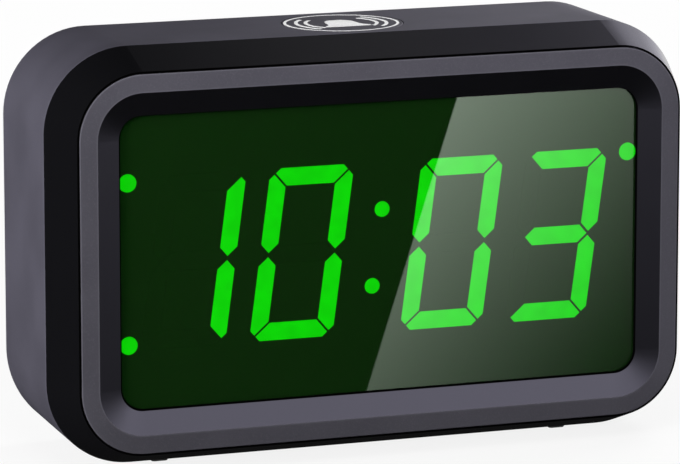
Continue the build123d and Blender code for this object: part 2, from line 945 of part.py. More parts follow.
def battery_contacts():
    """Plates on the tub's end walls: one for each end of the battery, bridges between cells."""
    near = max(tub_inside, cell_axis - contact_size / 2)
    far = cell_axis + contact_size / 2
    half = contact_size / 2
    plates = []
    for side in (-1, 1):
        x = tub_inner_right - contact_thickness if side > 0 else tub_inner_left
        ends = (x, x + contact_thickness)
        lone = end_cell(side)
        rise = cell_rise(lone)
        tab_near = tab_depth - contact_thickness / 2
        plate = block(*ends, min(near, tab_near), far, rise - half, rise + half)
        plates.append(plate + tab_block(side, 0))
        paired = [index for index in range(cell_count) if index != lone]
        for upper, lower in zip(paired[0::2], paired[1::2]):
            plates.append(block(*ends, near, far, cell_rise(lower) - half, cell_rise(upper) + half))
    return group(plates)


def battery_lead(side):
    """Wire from one end of the battery to the control board."""
    rise = cell_rise(end_cell(side))
    landing = (control_left + lead_board_inset, control_board_front, rise)
    if side > 0:
        points = [
            (tub_right + tab_reach, tab_depth, rise),
            (control_left + lead_board_inset, tab_depth, rise),
            landing,
        ]
        return tube(points, [lead_bend], lead_radius)
    run_depth = (display_board_back + tub_front) / 2
    turn_x = tub_left - tab_reach - lead_side_run
    points = [
        (tub_left - tab_reach, tab_depth, rise),
        (turn_x, tab_depth, rise),
        (turn_x, run_depth, rise),
        (control_left + lead_board_inset, run_depth, rise),
        landing,
    ]
    return tube(points, [lead_tight_bend, lead_tight_bend, lead_bend], lead_radius)


def battery_lead_red():
    """Lead from the positive end."""
    return battery_lead(1)


def battery_lead_black():
    """Lead from the negative end."""
    return battery_lead(-1)


def control_board():
    """Circuit board behind the rear buttons."""
    face = Pos(control_x, control_board_rise) * RectangleRounded(
        control_board_width, control_board_height, board_corner_radius
    )
    face -= [Pos(*spot) * Circle(board_screw_radius + screw_hole_clearance) for spot in control_post_spots]
    return slab(face, control_board_front, control_board_rear)


def control_board_screws():
    """Four screws into the rear cover's posts."""
    return group(
        facing_front(spot, control_board_front) * board_screw() for spot in control_post_spots
    )


def clock_chip():
    """Controller on the front of the control board."""
    half = clock_chip_size / 2
    rise = control_board_rise + clock_chip_rise
    near = control_board_front - clock_chip_height
    return block(control_x - half, control_x + half, near, control_board_front, rise - half, rise + half)


def quartz_crystal():
    """Small can that times the clock, lying on the control board."""
    bottom_z = case_mid_z + control_board_rise + crystal_rise - crystal_length / 2
    depth = control_board_front - crystal_radius
    x = control_left + crystal_inset
    return upright(x, depth, crystal_radius, bottom_z, bottom_z + crystal_length)


def capacitor():
    """Supply capacitor standing on the control board."""
    spot = (control_x + control_board_width / 2 - capacitor_inset, control_board_rise + capacitor_rise)
    return rod(spot, capacitor_radius, control_board_front - capacitor_length, control_board_front)


def buzzer():
    """Alarm sounder that faces the holes in the rear cover."""
    spot = (control_x, buzzer_z)
    far = plate_front - buzzer_gap
    can = rod(spot, buzzer_radius, control_board_rear, far)
    return can - rod(spot, buzzer_port_radius, far - buzzer_port_depth, far)


def key_cap(name):
    """Rear push-button with a flange behind the plate and a stem onto its switch."""
    spot = key_spots[name]
    cap = rod(spot, key_radius, plate_front, case_depth + key_proud)
    cap = fillet(edges_at_depth(cap, case_depth + key_proud), key_edge_round)
    flange_front = plate_front - key_flange_thickness
    cap += rod(spot, key_flange_radius, flange_front, plate_front)
    return cap + rod(spot, key_stem_radius, plunger_tip, flange_front)


def key_plunger(name):
    """Moving pin of the switch under a rear button."""
    return rod(key_spots[name], plunger_radius, switch_face - plunger_depth, plunger_tip)


def key_switches():
    """Fixed bodies of the four rear switches."""
    half = switch_size / 2
    bore = plunger_radius + plunger_clearance
    bore_depth = plunger_depth + key_travel + plunger_bore_spare
    bodies = []
    for spot in key_spots.values():
        square = Pos(*spot) * Rectangle(2 * half, 2 * half)
        body = slab(square, control_board_rear, switch_face)
        bodies.append(body - rod(spot, bore, switch_face - bore_depth, switch_face))
    return group(bodies)


def slide_switch_can():
    """Fixed part of the alarm switch, with a slot for its knob."""
    half_w = slide_can_width / 2
    half_h = slide_can_height / 2
    far = control_board_rear + slide_can_depth
    can = block(
        control_x - half_w, control_x + half_w, control_board_rear, far, slide_z - half_h, slide_z + half_h
    )
    slot_rise = slide_knob_height / 2 + slide_clearance
    slot_half = slide_slot_half_width()
    slot_front = far - slide_knob_entry - slide_clearance
    ends = (control_x - slot_half, control_x + slot_half)
    return can - block(*ends, slot_front, far, slide_z - slot_rise, slide_z + slot_rise)


def slide_knob():
    """Sliding knob of the alarm switch, at its left stop, with a dust shield behind the slot."""
    half_w = slide_knob_width / 2
    half_h = slide_knob_height / 2
    near = control_board_rear + slide_can_depth - slide_knob_entry
    knob = block(
        slide_x - half_w, slide_x + half_w, near, case_depth + key_proud, slide_z - half_h, slide_z + half_h
    )
    shield_half = slide_slot_half_width() + slide_travel / 2
    shield_rise = half_h + slide_clearance + slide_shield_margin
    shield_far = plate_front - slide_shield_gap
    knob += block(
        slide_x - shield_half,
        slide_x + shield_half,
        shield_far - slide_shield_thickness,
        shield_far,
        slide_z - shield_rise,
        slide_z + shield_rise,
    )
    return knob


def snooze_button():
    """Round flush button in the top, with two hooked legs and a stem onto its switch."""
    cap_bottom = case_top_z - snooze_cap_thickness
    cap = upright(0, snooze_depth, snooze_radius, cap_bottom, case_top_z)
    cap = fillet(cap.edges().sort_by(Axis.Z)[-1], snooze_edge_round)
    cap += upright(0, snooze_depth, snooze_stem_radius, snooze_tip_z, cap_bottom)
    lug_top = inner_top_z - snooze_lug_gap
    lug_bottom = lug_top - snooze_lug_height
    lug_end = snooze_hole_radius + snooze_lug_reach
    leg_outer = sqrt(snooze_radius**2 - (snooze_leg_width / 2) ** 2)
    leg_inner = leg_outer - snooze_leg_thickness
    for side in (-1, 1):
        leg_x = side * (leg_outer + leg_inner) / 2
        lug_x = side * (lug_end + leg_inner) / 2
        cap += upright_block(
            leg_x, snooze_depth, snooze_leg_thickness, snooze_leg_width, lug_bottom, cap_bottom
        )
        cap += upright_block(
            lug_x, snooze_depth, lug_end - leg_inner, snooze_leg_width, lug_bottom, lug_top
        )
    return cap


def snooze_plunger():
    """Moving pin of the snooze switch."""
    return upright(0, snooze_depth, plunger_radius, snooze_switch_z - plunger_depth, snooze_tip_z)


def snooze_switch():
    """Fixed body of the snooze switch."""
    body = upright_block(0, snooze_depth, switch_size, switch_size, snooze_board_top_z, snooze_switch_z)
    bore_depth = plunger_depth + snooze_travel + plunger_bore_spare
    bore = plunger_radius + plunger_clearance
    return body - upright(0, snooze_depth, bore, snooze_switch_z - bore_depth, snooze_switch_z)


def snooze_board():
    """Small circuit board that hangs from two posts under the top."""
    width = 2 * (snooze_post_x + snooze_board_margin)
    board = upright_block(
        0, snooze_depth, width, snooze_board_depth, snooze_board_bottom_z, snooze_board_top_z
    )
    hole = board_screw_radius + screw_hole_clearance
    for side in (-1, 1):
        board -= upright(
            side * snooze_post_x, snooze_depth, hole, snooze_board_bottom_z, snooze_board_top_z
        )
    return board


def snooze_board_screws():
    """Two screws up into the posts under the top."""
    screws = []
    for side in (-1, 1):
        place = (side * snooze_post_x, front_y + snooze_depth, snooze_board_bottom_z)
        screws.append(Plane(place, z_dir=(0, 0, -1)) * board_screw())
    return group(screws)


def snooze_leads():
    """Two wires from the snooze board down to the control board."""
    x = snooze_post_x + snooze_board_margin - snooze_lead_edge
    top = snooze_board_bottom_z - case_mid_z
    rise = control_board_rise + control_board_height / 2 - snooze_lead_board_inset
    wires = []
    for index in range(2):
        depth = snooze_depth - snooze_lead_setback - index * snooze_lead_pitch
        landing_x = control_left + lead_board_inset + index * snooze_lead_pitch
        points = [
            (x, depth, top),
            (x, depth, rise),
            (landing_x, depth, rise),
            (landing_x, control_board_front, rise),
        ]
        wires.append(tube(points, [snooze_lead_bend, snooze_lead_bend], snooze_lead_radius))
    return group(wires)


def ribbon_cable():
    """Flat cable from the back of the display board to the front of the control board."""
    points = [
        (display_board_back, ribbon_display_rise),
        (display_board_back + ribbon_run, ribbon_display_rise),
        (control_board_front - ribbon_run, ribbon_control_rise),
        (control_board_front, ribbon_control_rise),
    ]
    path = FilletPolyline(*points, radius=[ribbon_bend, ribbon_bend])
    side = Plane(
        (control_x + ribbon_offset - ribbon_width / 2, front_y, case_mid_z), x_dir=(0, 1, 0), z_dir=(1, 0, 0)
    )
    return extrude(side * trace(path, ribbon_thickness), amount=ribbon_width)


def rubber_feet():
    """Four tapered pads, each with a stem in the bottom of the housing."""
    feet = []
    for x, depth in foot_spots:
        plane = Plane((x, front_y + depth, foot_height), z_dir=(0, 0, -1))
        pad = RectangleRounded(foot_width, foot_length, foot_corner_radius)
        foot = extrude(plane * pad, amount=foot_height, taper=foot_taper)
        stem_top = foot_height + wall + foot_stem_stand_off
        feet.append(foot + upright(x, depth, foot_stem_radius, foot_height, stem_top))
    return group(feet)


def pieces():
    """Every node's name and solid, in the order of assembly."""
    named = [
        main_housing,
        front_bezel,
        display_lens,
        display_reflector,
        lit_segments,
        unlit_segments,
        colon_dots,
        indicator_dots,
        led_chips,
        display_board,
        display_board_screws,
        driver_chip,
        rear_cover,
        rear_cover_screws,
        battery_door,
        aa_cells,
        battery_springs,
        battery_contacts,
        battery_lead_red,
        battery_lead_black,
        control_board,
        control_board_screws,
        clock_chip,
        quartz_crystal,
        capacitor,
        buzzer,
        key_switches,
        slide_switch_can,
        slide_knob,
        snooze_button,
        snooze_plunger,
        snooze_switch,
        snooze_board,
        snooze_board_screws,
        snooze_leads,
        ribbon_cable,
        rubber_feet,
    ]
    for make in named:
        yield make.__name__, make()
    for key in key_spots:
        yield f"{key}_button", key_cap(key)
        yield f"{key}_plunger", key_plunger(key)


def main():
    """Write one STEP file for each node."""
    os.makedirs("parts", exist_ok=True)
    for name, solid in pieces():
        export_step(solid, f"parts/{name}.step")
    print(f"case {2 * (window_half_width + case_growth):.2f} wide, {2 * case_half_height:.2f} high, "
          f"{case_depth:.2f} deep")
    print(f"least gap between a battery spring's turns: {spring_least_gap():.3f} mm")


if __name__ == "__main__":
    main()
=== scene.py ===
"""Looks of a digital LED desk clock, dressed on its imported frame.

Sizes are in millimetres unless a docstring says otherwise. The frame is in metres, with X to the right,
Y from front to back and Z up.
"""

import logging
import math
from dataclasses import dataclass
from enum import Enum
from typing import Callable, Mapping, Optional, Sequence, Union

import bmesh
import bpy
from mathutils import Matrix, Vector


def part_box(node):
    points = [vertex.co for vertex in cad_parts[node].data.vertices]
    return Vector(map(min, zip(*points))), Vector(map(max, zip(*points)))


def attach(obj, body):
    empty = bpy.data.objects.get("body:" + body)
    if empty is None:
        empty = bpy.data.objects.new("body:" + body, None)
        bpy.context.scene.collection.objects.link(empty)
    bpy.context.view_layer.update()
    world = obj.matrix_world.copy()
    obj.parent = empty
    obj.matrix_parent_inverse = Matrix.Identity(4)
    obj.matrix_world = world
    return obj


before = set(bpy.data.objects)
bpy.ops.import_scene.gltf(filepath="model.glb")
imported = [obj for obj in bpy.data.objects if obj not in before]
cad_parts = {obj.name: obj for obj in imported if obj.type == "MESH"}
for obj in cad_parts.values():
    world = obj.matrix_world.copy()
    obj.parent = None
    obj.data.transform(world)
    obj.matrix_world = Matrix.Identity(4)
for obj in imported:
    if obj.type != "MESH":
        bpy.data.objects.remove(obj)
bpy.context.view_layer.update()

MM = 0.001
WHITE = (1.0, 1.0, 1.0)
HAZE = (0.97, 0.95, 1.06)
# Black painted where shade falls: in the seam round the bezel, on the lip round the window and along the
# lens's edge.
PAINTED_SHADE_BLACK = (0.001, 0.001, 0.001)
CLOUDY = (0.3, 0.7)
PEAKS = (0.5, 0.8)
KEYS = ("time", "alarm", "hour", "minute")
LOG = logging.getLogger("desk_clock")

Colour = tuple[float, float, float]
Place = tuple[float, float, float]
Span = tuple[float, float]
Value = Union["Wire", float]


class GlossZone(Enum):
    """Which part of a case moulding is polished black instead of satin."""

    NONE = "none"
    BEVEL = "bevel"
    SLOPE = "slope"


class Facing(Enum):
    """Which way a printed mark faces: its own right, its own up, and out of the surface."""

    TOP = ((1, 0, 0), (0, 1, 0), (0, 0, 1))
    REAR = ((-1, 0, 0), (0, 0, 1), (0, 1, 0))


class Body(Enum):
    """The bodies of the frame that new pieces ride on."""

    CASE = "case"
    SNOOZE = "snooze_key"


def shade(colour: Colour, share: float) -> Colour:
    """A colour made darker or lighter by a share."""
    return tuple(share * part for part in colour)


def middle_of(node: str) -> Vector:
    """Middle of a node's box."""
    low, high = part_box(node)
    return (low + high) / 2 / MM


class Wire:
    """One output socket of a shader tree; arithmetic on it adds Math nodes."""

    def __init__(self, tree: "ShaderTree", socket: bpy.types.NodeSocket) -> None:
        """Keeps the socket and the tree that it belongs to."""
        self.tree = tree
        self.socket = socket

    def _math(self, operation: str, *operands: Value) -> "Wire":
        """Adds one Math node.

        Args:
            operation: Blender's name of the operation.
            operands: numbers or wires, in order.

        Returns:
            The node's result.
        """
        made = self.tree.node("ShaderNodeMath", {"operation": operation}, dict(enumerate(operands)))
        return Wire(self.tree, made.outputs[0])

    def __add__(self, other: Value) -> "Wire":
        """Sum."""
        return self._math("ADD", self, other)

    def __radd__(self, other: Value) -> "Wire":
        """Sum, with the number first."""
        return self._math("ADD", other, self)

    def __sub__(self, other: Value) -> "Wire":
        """Difference."""
        return self._math("SUBTRACT", self, other)

    def __rsub__(self, other: Value) -> "Wire":
        """Difference, with the number first."""
        return self._math("SUBTRACT", other, self)

    def __mul__(self, other: Value) -> "Wire":
        """Product."""
        return self._math("MULTIPLY", self, other)

    def __rmul__(self, other: Value) -> "Wire":
        """Product, with the number first."""
        return self._math("MULTIPLY", other, self)

    def __truediv__(self, other: Value) -> "Wire":
        """Quotient."""
        return self._math("DIVIDE", self, other)

    def __rtruediv__(self, other: Value) -> "Wire":
        """Quotient, with the number first."""
        return self._math("DIVIDE", other, self)

    def __pow__(self, power: Value) -> "Wire":
        """Power."""
        return self._math("POWER", self, power)

    def __abs__(self) -> "Wire":
        """Size without sign."""
        return self._math("ABSOLUTE", self)

    def at_least(self, other: Value) -> "Wire":
        """The larger of this and another value."""
        return self._math("MAXIMUM", self, other)

    def at_most(self, other: Value) -> "Wire":
        """The smaller of this and another value."""
        return self._math("MINIMUM", self, other)

    def root(self) -> "Wire":
        """Square root."""
        return self._math("SQRT", self)

    def repeat(self, length: float) -> "Wire":
        """Place within a repeat of this length, from 0 to the length."""
        return self._math("FLOORED_MODULO", self, length)

    def step(self, low: float, high: float) -> "Wire":
        """Smooth rise from 0 at low to 1 at high, or a fall where low is above high.

        Args:
            low: value at which the result is 0.
            high: value at which the result is 1.

        Returns:
            The smoothed share.
        """
        made = self.tree.node(
            "ShaderNodeMapRange",
            {"interpolation_type": "SMOOTHSTEP"},
            {"Value": self, "From Min": low, "From Max": high},
        )
        return Wire(self.tree, made.outputs["Result"])

    def above(self, edge: float, blur: float) -> "Wire":
        """1 above an edge and 0 below it, blurred to either side."""
        return self.step(edge - blur, edge + blur)

    def below(self, edge: float, blur: float) -> "Wire":
        """1 below an edge and 0 above it, blurred to either side."""
        return self.step(edge + blur, edge - blur)

    def band(self, middle: float, half_width: float) -> "Wire":
        """A soft line: 1 at the middle, 0 at half_width to either side."""
        return abs(self - middle).step(half_width, 0.0)


class ShaderTree:
    """The nodes of one material or world."""

    def __init__(self, owner: Union[bpy.types.Material, bpy.types.World]) -> None:
        """Empties the owner's node tree.

        Args:
            owner: material or world that gets the nodes.
        """
        owner.use_nodes = True
        self.owner = owner
        self.nodes = owner.node_tree.nodes
        self.links = owner.node_tree.links
        self.nodes.clear()

    def node(
        self,
        kind: str,
        settings: Optional[Mapping[str, object]] = None,
        sockets: Optional[Mapping[Union[str, int], object]] = None,
    ) -> bpy.types.Node:
        """Adds one node.

        Args:
            kind: Blender's type name of the node.
            settings: properties, set before the sockets.
            sockets: input values or wires, by name or number.

        Returns:
            The node.
        """
        made = self.nodes.new(kind)
        for key, value in (settings or {}).items():
            setattr(made, key, value)
        for key, value in (sockets or {}).items():
            if isinstance(value, Wire):
                self.links.new(value.socket, made.inputs[key])
            else:
                made.inputs[key].default_value = value
        return made

    def place(self, centre: Sequence[float] = (0, 0, 0)) -> Wire:
        """Object coordinates in millimetres.

        Args:
            centre: point that becomes the origin.

        Returns:
            The place as a vector.
        """
        coordinates = self.node("ShaderNodeTexCoord")
        mapping = self.node(
            "ShaderNodeMapping",
            {"vector_type": "POINT"},
            {
                "Vector": Wire(self, coordinates.outputs["Object"]),
                "Location": tuple(-part for part in centre),
                "Scale": (1 / MM,) * 3,
            },
        )
        return Wire(self, mapping.outputs["Vector"])

    def axes(self, vector: Wire) -> tuple[Wire, Wire, Wire]:
        """The three parts of a vector."""
        parts = self.node("ShaderNodeSeparateXYZ", None, {"Vector": vector})
        return tuple(Wire(self, output) for output in parts.outputs)

    def stretched(self, vector: Wire, scale: Sequence[float]) -> Wire:
        """A vector with each part scaled by its own factor."""
        made = self.node("ShaderNodeVectorMath", {"operation": "MULTIPLY"}, {0: vector, 1: tuple(scale)})
        return Wire(self, made.outputs[0])

    def noise(self, place: Wire, size: float, detail: float = 2.0) -> Wire:
        """Soft random pattern from 0 to 1.

        Args:
            place: where it is read.
            size: size of one blot, in the units of place.
            detail: how many finer layers are added.

        Returns:
            The pattern's value.
        """
        made = self.node("ShaderNodeTexNoise", None, {"Vector": place, "Scale": 1 / size, "Detail": detail})
        return Wire(self, made.outputs[0])

    def mix(self, share: Value, first: object, second: object) -> Wire:
        """Blend of two colours.

        Args:
            share: how much of the second colour shows.
            first: colour or wire at share 0.
            second: colour or wire at share 1.

        Returns:
            The blended colour.
        """
        first, second = (tone if isinstance(tone, Wire) else (*tone, 1.0) for tone in (first, second))
        made = self.node("ShaderNodeMix", {"data_type": "RGBA"}, {0: share, 6: first, 7: second})
        return Wire(self, made.outputs[2])

    def bump(self, height: Wire, depth: float, under: Optional[Wire] = None) -> Wire:
        """Normal of a surface that rises with height.

        Args:
            height: rise from 0 to 1.
            depth: rise at height 1.
            under: normal of a coarser form that this one lies on.

        Returns:
            The bent normal.
        """
        sockets = {"Height": height, "Distance": depth * MM}
        if under is not None:
            sockets["Normal"] = under
        made = self.node("ShaderNodeBump", None, sockets)
        return Wire(self, made.outputs["Normal"])

    def surface(self, kind: str, sockets: Mapping[str, object]) -> Wire:
        """A shader, by the end of its type name."""
        return Wire(self, self.node(f"ShaderNode{kind}", None, sockets).outputs[0])

    def principled(self, sockets: Mapping[str, object]) -> Wire:
        """A Principled shader with these inputs."""
        return self.surface("BsdfPrincipled", sockets)

    def matte(self, colour: Colour) -> Wire:
        """A plain surface without any shine."""
        return self.principled({"Base Color": (*colour, 1.0), "Roughness": 1.0, "Specular IOR Level": 0.0})

    def blend(self, share: Wire, first: Wire, second: Wire) -> Wire:
        """Mixes two surfaces, all of the second where the share is 1."""
        made = self.node("ShaderNodeMixShader", None, {0: share, 1: first, 2: second})
        return Wire(self, made.outputs[0])

    def finish(self, surface: Wire) -> Union[bpy.types.Material, bpy.types.World]:
        """Ends the tree in this surface.

        Args:
            surface: what shows.

        Returns:
            The material or world.
        """
        kind = "World" if isinstance(self.owner, bpy.types.World) else "Material"
        self.node(f"ShaderNodeOutput{kind}", None, {"Surface": surface})
        return self.owner


def new_tree(name: str) -> ShaderTree:
    """A new material's empty tree."""
    return ShaderTree(bpy.data.materials.new(name))


@dataclass(frozen=True)
class CaseShape:
    """The rounded outlines and depths that the case's mouldings share."""

    window_radius: float = 4.0
    slope_inset: float = 4.1
    ring_width: float = 3.25
    bevel_depth: float = 9.4

    @property
    def front(self) -> float:
        """Y of the ring's front face."""
        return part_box("front_bezel")[0].y / MM

    @property
    def corner(self) -> Span:
        """Middle of the window's corner arc, right and up from the window's middle."""
        low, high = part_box("front_bezel")
        ring_outside = self.slope_inset + self.ring_width + self.window_radius
        return ((high.x - low.x) / 2 / MM - ring_outside, (high.z - low.z) / 2 / MM - ring_outside)

    def growth(self, tree: ShaderTree, place: Wire) -> Wire:
        """How far outside the window's outline a point is, seen from the front.

        Args:
            tree: tree that gets the nodes.
            place: place in millimetres.

        Returns:
            The distance, 0 on the window's outline.
        """
        x, _, z = tree.axes(place)
        across = (abs(x) - self.corner[0]).at_least(0.0)
        along = (abs(z - middle_of("front_bezel").z) - self.corner[1]).at_least(0.0)
        return (across * across + along * along).root() - self.window_radius


@dataclass(frozen=True)
class CasePlastic:
    """Dark satin moulding with grain and edges lightened by wear and painted highlight and, where asked,
    polished bands and black painted shade in the seam and along the lip.
    """

    name: str
    gloss_zone: GlossZone = GlossZone.NONE
    satin: Colour = (0.051, 0.0487, 0.063)
    satin_roughness: float = 0.46
    gloss: Colour = (0.003, 0.003, 0.0036)
    gloss_roughness: float = 0.17
    specular: float = 0.6
    sheen_tint: Colour = (0.8, 0.765, 1.0)
    grain_size: float = 0.22
    grain_depth: float = 0.012
    grain_contrast: float = 0.22
    gloss_grain: float = 0.1
    mottle_size: float = 14.0
    mottle_contrast: float = 0.1
    smudge_size: float = 8.4
    smudge_contrast: float = 0.08
    # Edges made lighter: partly wear, partly painted highlight.
    edge_lift: float = 0.9
    edge_width: float = 0.2
    bevel_blur: float = 0.1
    line_blur: float = 0.05
    # Sizes of the black painted shade in the seam and on the lip round the window.
    seam_depth: float = 0.28
    seam_width: float = 0.04
    seam_blur: float = 0.03
    lip_shade_width: float = 0.05
    crown: float = 0.0

    def _zones(self, tree: ShaderTree, place: Wire, shape: CaseShape) -> tuple[Wire, Wire, Wire]:
        """Where the moulding is polished, lighter along an edge by wear and painted highlight, and black
        with painted shade at the seam and the lip.

        Args:
            tree: tree that gets the nodes.
            place: place in millimetres.
            shape: outlines of the case.

        Returns:
            Share of polish, share of edge wear and painted highlight, and share of painted shade at the seam
            and the lip.
        """
        if self.gloss_zone is GlossZone.BEVEL:
            depth = tree.axes(place)[1] - shape.front
            polish = depth.below(shape.bevel_depth, self.bevel_blur)
            # Lighter band just behind the bevel's edge: wear and painted highlight.
            wear = depth.band(shape.bevel_depth + self.edge_width, self.edge_width)
            # The housing's front edge, inside the seam, is painted black as shade.
            return polish, wear, depth.below(self.seam_depth, self.line_blur)
        growth = shape.growth(tree, place)
        ring_outside = shape.slope_inset + shape.ring_width - self.seam_width
        # Lighter lines along the ring's edges: wear and painted highlight.
        inner_edge = growth.band(shape.slope_inset + self.edge_width / 2, self.edge_width)
        outer_edge = growth.band(ring_outside - self.edge_width / 2, self.edge_width)
        polish = growth.below(shape.slope_inset, self.line_blur)
        # Black painted along the lip and in the seam round the ring, as the shade that falls there.
        lip = growth.below(self.lip_shade_width, self.seam_blur)
        seam_shade = growth.above(ring_outside, self.seam_blur).at_least(lip)
        return polish, inner_edge.at_least(outer_edge), seam_shade

    def _crowned(self, tree: ShaderTree, place: Wire, shape: CaseShape) -> Wire:
        """Normal of the bezel's ring, which falls a little towards its outside."""
        fall = (shape.growth(tree, place) - shape.slope_inset).at_least(0.0)
        return tree.bump(1 - fall / shape.ring_width, self.crown)

    def material(self, shape: CaseShape) -> bpy.types.Material:
        """Makes the material.

        Args:
            shape: outlines of the case.

        Returns:
            The material.
        """
        tree = new_tree(self.name)
        place = tree.place()
        polish, wear, seam_shade, form = 0.0, 0.0, None, None
        if self.gloss_zone is not GlossZone.NONE:
            polish, wear, seam_shade = self._zones(tree, place, shape)
        if self.gloss_zone is GlossZone.SLOPE:
            form = self._crowned(tree, place, shape)
        grain = tree.noise(place, self.grain_size, 1.0)
        mottle = tree.noise(place, self.mottle_size, 3.0)
        darker = shade(self.satin, 1 - self.mottle_contrast)
        lighter = shade(self.satin, 1 + self.mottle_contrast)
        satin = tree.mix(mottle.step(*CLOUDY), darker, lighter)
        satin = tree.mix(grain.step(*PEAKS) * 0.5, satin, shade(self.satin, 1 + 2 * self.grain_contrast))
        # Edges lighter by wear and by painted highlight.
        satin = tree.mix(wear * (0.5 + 0.5 * mottle), satin, shade(self.satin, 1 + self.edge_lift))
        smudge = self.smudge_contrast * (tree.noise(place, self.smudge_size, 4.0) - 0.5)
        roughness = self.satin_roughness + smudge + polish * (self.gloss_roughness - self.satin_roughness)
        surface = tree.principled(
            {
                "Base Color": tree.mix(polish, satin, self.gloss),
                "Roughness": roughness,
                "Normal": tree.bump(grain * (1 - (1 - self.gloss_grain) * polish), self.grain_depth, form),
                "Specular IOR Level": self.specular,
                "Specular Tint": (*self.sheen_tint, 1.0),
            }
        )
        # Painted shade: black matte in the seam and on the lip.
        if seam_shade is not None:
            surface = tree.blend(seam_shade, surface, tree.matte(PAINTED_SHADE_BLACK))
        return tree.finish(surface)


@dataclass(frozen=True)
class LensTint:
    """Green tinted pane: part see-through, part its own dark green, polished, with painted shade in a black
    line along its edge, where the lip's shadow falls.
    """

    name: str = "lens_tint"
    body: Colour = (0.0088, 0.0285, 0.0064)
    through: Colour = (0.30, 0.92, 0.28)
    solid_share: float = 0.5
    roughness: float = 0.005
    specular: float = 1.0
    sheen_tint: Colour = (0.84, 1.0, 0.82)
    dust_size: float = 3.5
    dust_contrast: float = 0.1
    dust_roughness: float = 0.006
    face_depth: float = 0.15
    # Black line along the pane's edge: painted shadow of the lip, shifted to the right where it is wider.
    rim_shade_width: float = 0.18
    rim_shade_shift: float = 0.22
    blur: float = 0.05

    def material(self, shape: CaseShape) -> bpy.types.Material:
        """Makes the material, whose front face alone is part solid.

        Args:
            shape: outlines of the case.

        Returns:
            The material.
        """
        tree = new_tree(self.name)
        place = tree.place()
        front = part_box("display_lens")[0].y / MM
        face = (tree.axes(place)[1] - front).below(self.face_depth, self.blur)
        # Where the painted shadow of the lip lies along the edge.
        rim = shape.growth(tree, tree.place((self.rim_shade_shift, 0.0, 0.0))).above(-self.rim_shade_width, self.blur)
        dust = tree.noise(place, self.dust_size, 4.0)
        darker = shade(self.body, 1 - self.dust_contrast)
        lighter = shade(self.body, 1 + self.dust_contrast)
        pane = tree.principled(
            {
                "Base Color": tree.mix(dust, darker, lighter),
                "Roughness": self.roughness + self.dust_roughness * dust.step(*PEAKS),
                "Specular IOR Level": self.specular,
                "Specular Tint": (*self.sheen_tint, 1.0),
            }
        )
        clear = tree.surface("BsdfTransparent", {"Color": (*self.through, 1.0)})
        glass = tree.blend(face * self.solid_share, clear, pane)
        # Painted shadow: the front face goes black along its edge.
        return tree.finish(tree.blend(face * rim, glass, tree.matte(PAINTED_SHADE_BLACK)))


@dataclass(frozen=True)
class GlowingResin:
    """Diffusing light pipe with its LED on."""

    name: str = "segment_lit"
    colour: Colour = (0.02, 0.30, 0.01)
    light: Colour = (0.016, 0.98, 0.002)
    strength: float = 1.4
    cloud_size: float = 2.5
    roughness: float = 0.45
    edge_shade: float = 0.8
    dim: float = 0.93
    bright: float = 1.05

    def material(self) -> bpy.types.Material:
        """Makes the material.

        Returns:
            The material.
        """
        tree = new_tree(self.name)
        cloud = tree.noise(tree.place(), self.cloud_size, 2.0)
        glow = tree.mix(cloud.step(*CLOUDY), shade(self.light, self.dim), shade(self.light, self.bright))
        surface = tree.principled(
            {
                "Base Color": tree.mix(cloud, shade(self.colour, self.edge_shade), self.colour),
                "Roughness": self.roughness + 0.1 * cloud,
                "Emission Color": glow,
                "Emission Strength": self.strength,
            }
        )
        return tree.finish(surface)


@dataclass(frozen=True)
class SpeckledResin:
    """Plain moulded or potted material with a fine speckle: resin, rubber, sleeve or insulation."""

    name: str
    colour: Colour
    roughness: float = 0.5
    speckle_size: float = 0.3
    speckle_share: float = 0.6
    cloud_spread: float = 18.0
    contrast: float = 0.25
    depth: float = 0.01

    def material(self) -> bpy.types.Material:
        """Makes the material.

        Returns:
            The material.
        """
        tree = new_tree(self.name)
        place = tree.place()
        speckle = tree.noise(place, self.speckle_size, 2.0)
        cloud = tree.noise(place, self.speckle_size * self.cloud_spread, 2.0)
        share = self.speckle_share * speckle + (1 - self.speckle_share) * cloud
        low = shade(self.colour, 1 - self.contrast)
        high = shade(self.colour, 1 + self.contrast)
        surface = tree.principled(
            {
                "Base Color": tree.mix(share.step(*CLOUDY), low, high),
                "Roughness": self.roughness + 0.2 * (share - 0.5),
                "Normal": tree.bump(speckle, self.depth),
            }
        )
        return tree.finish(surface)


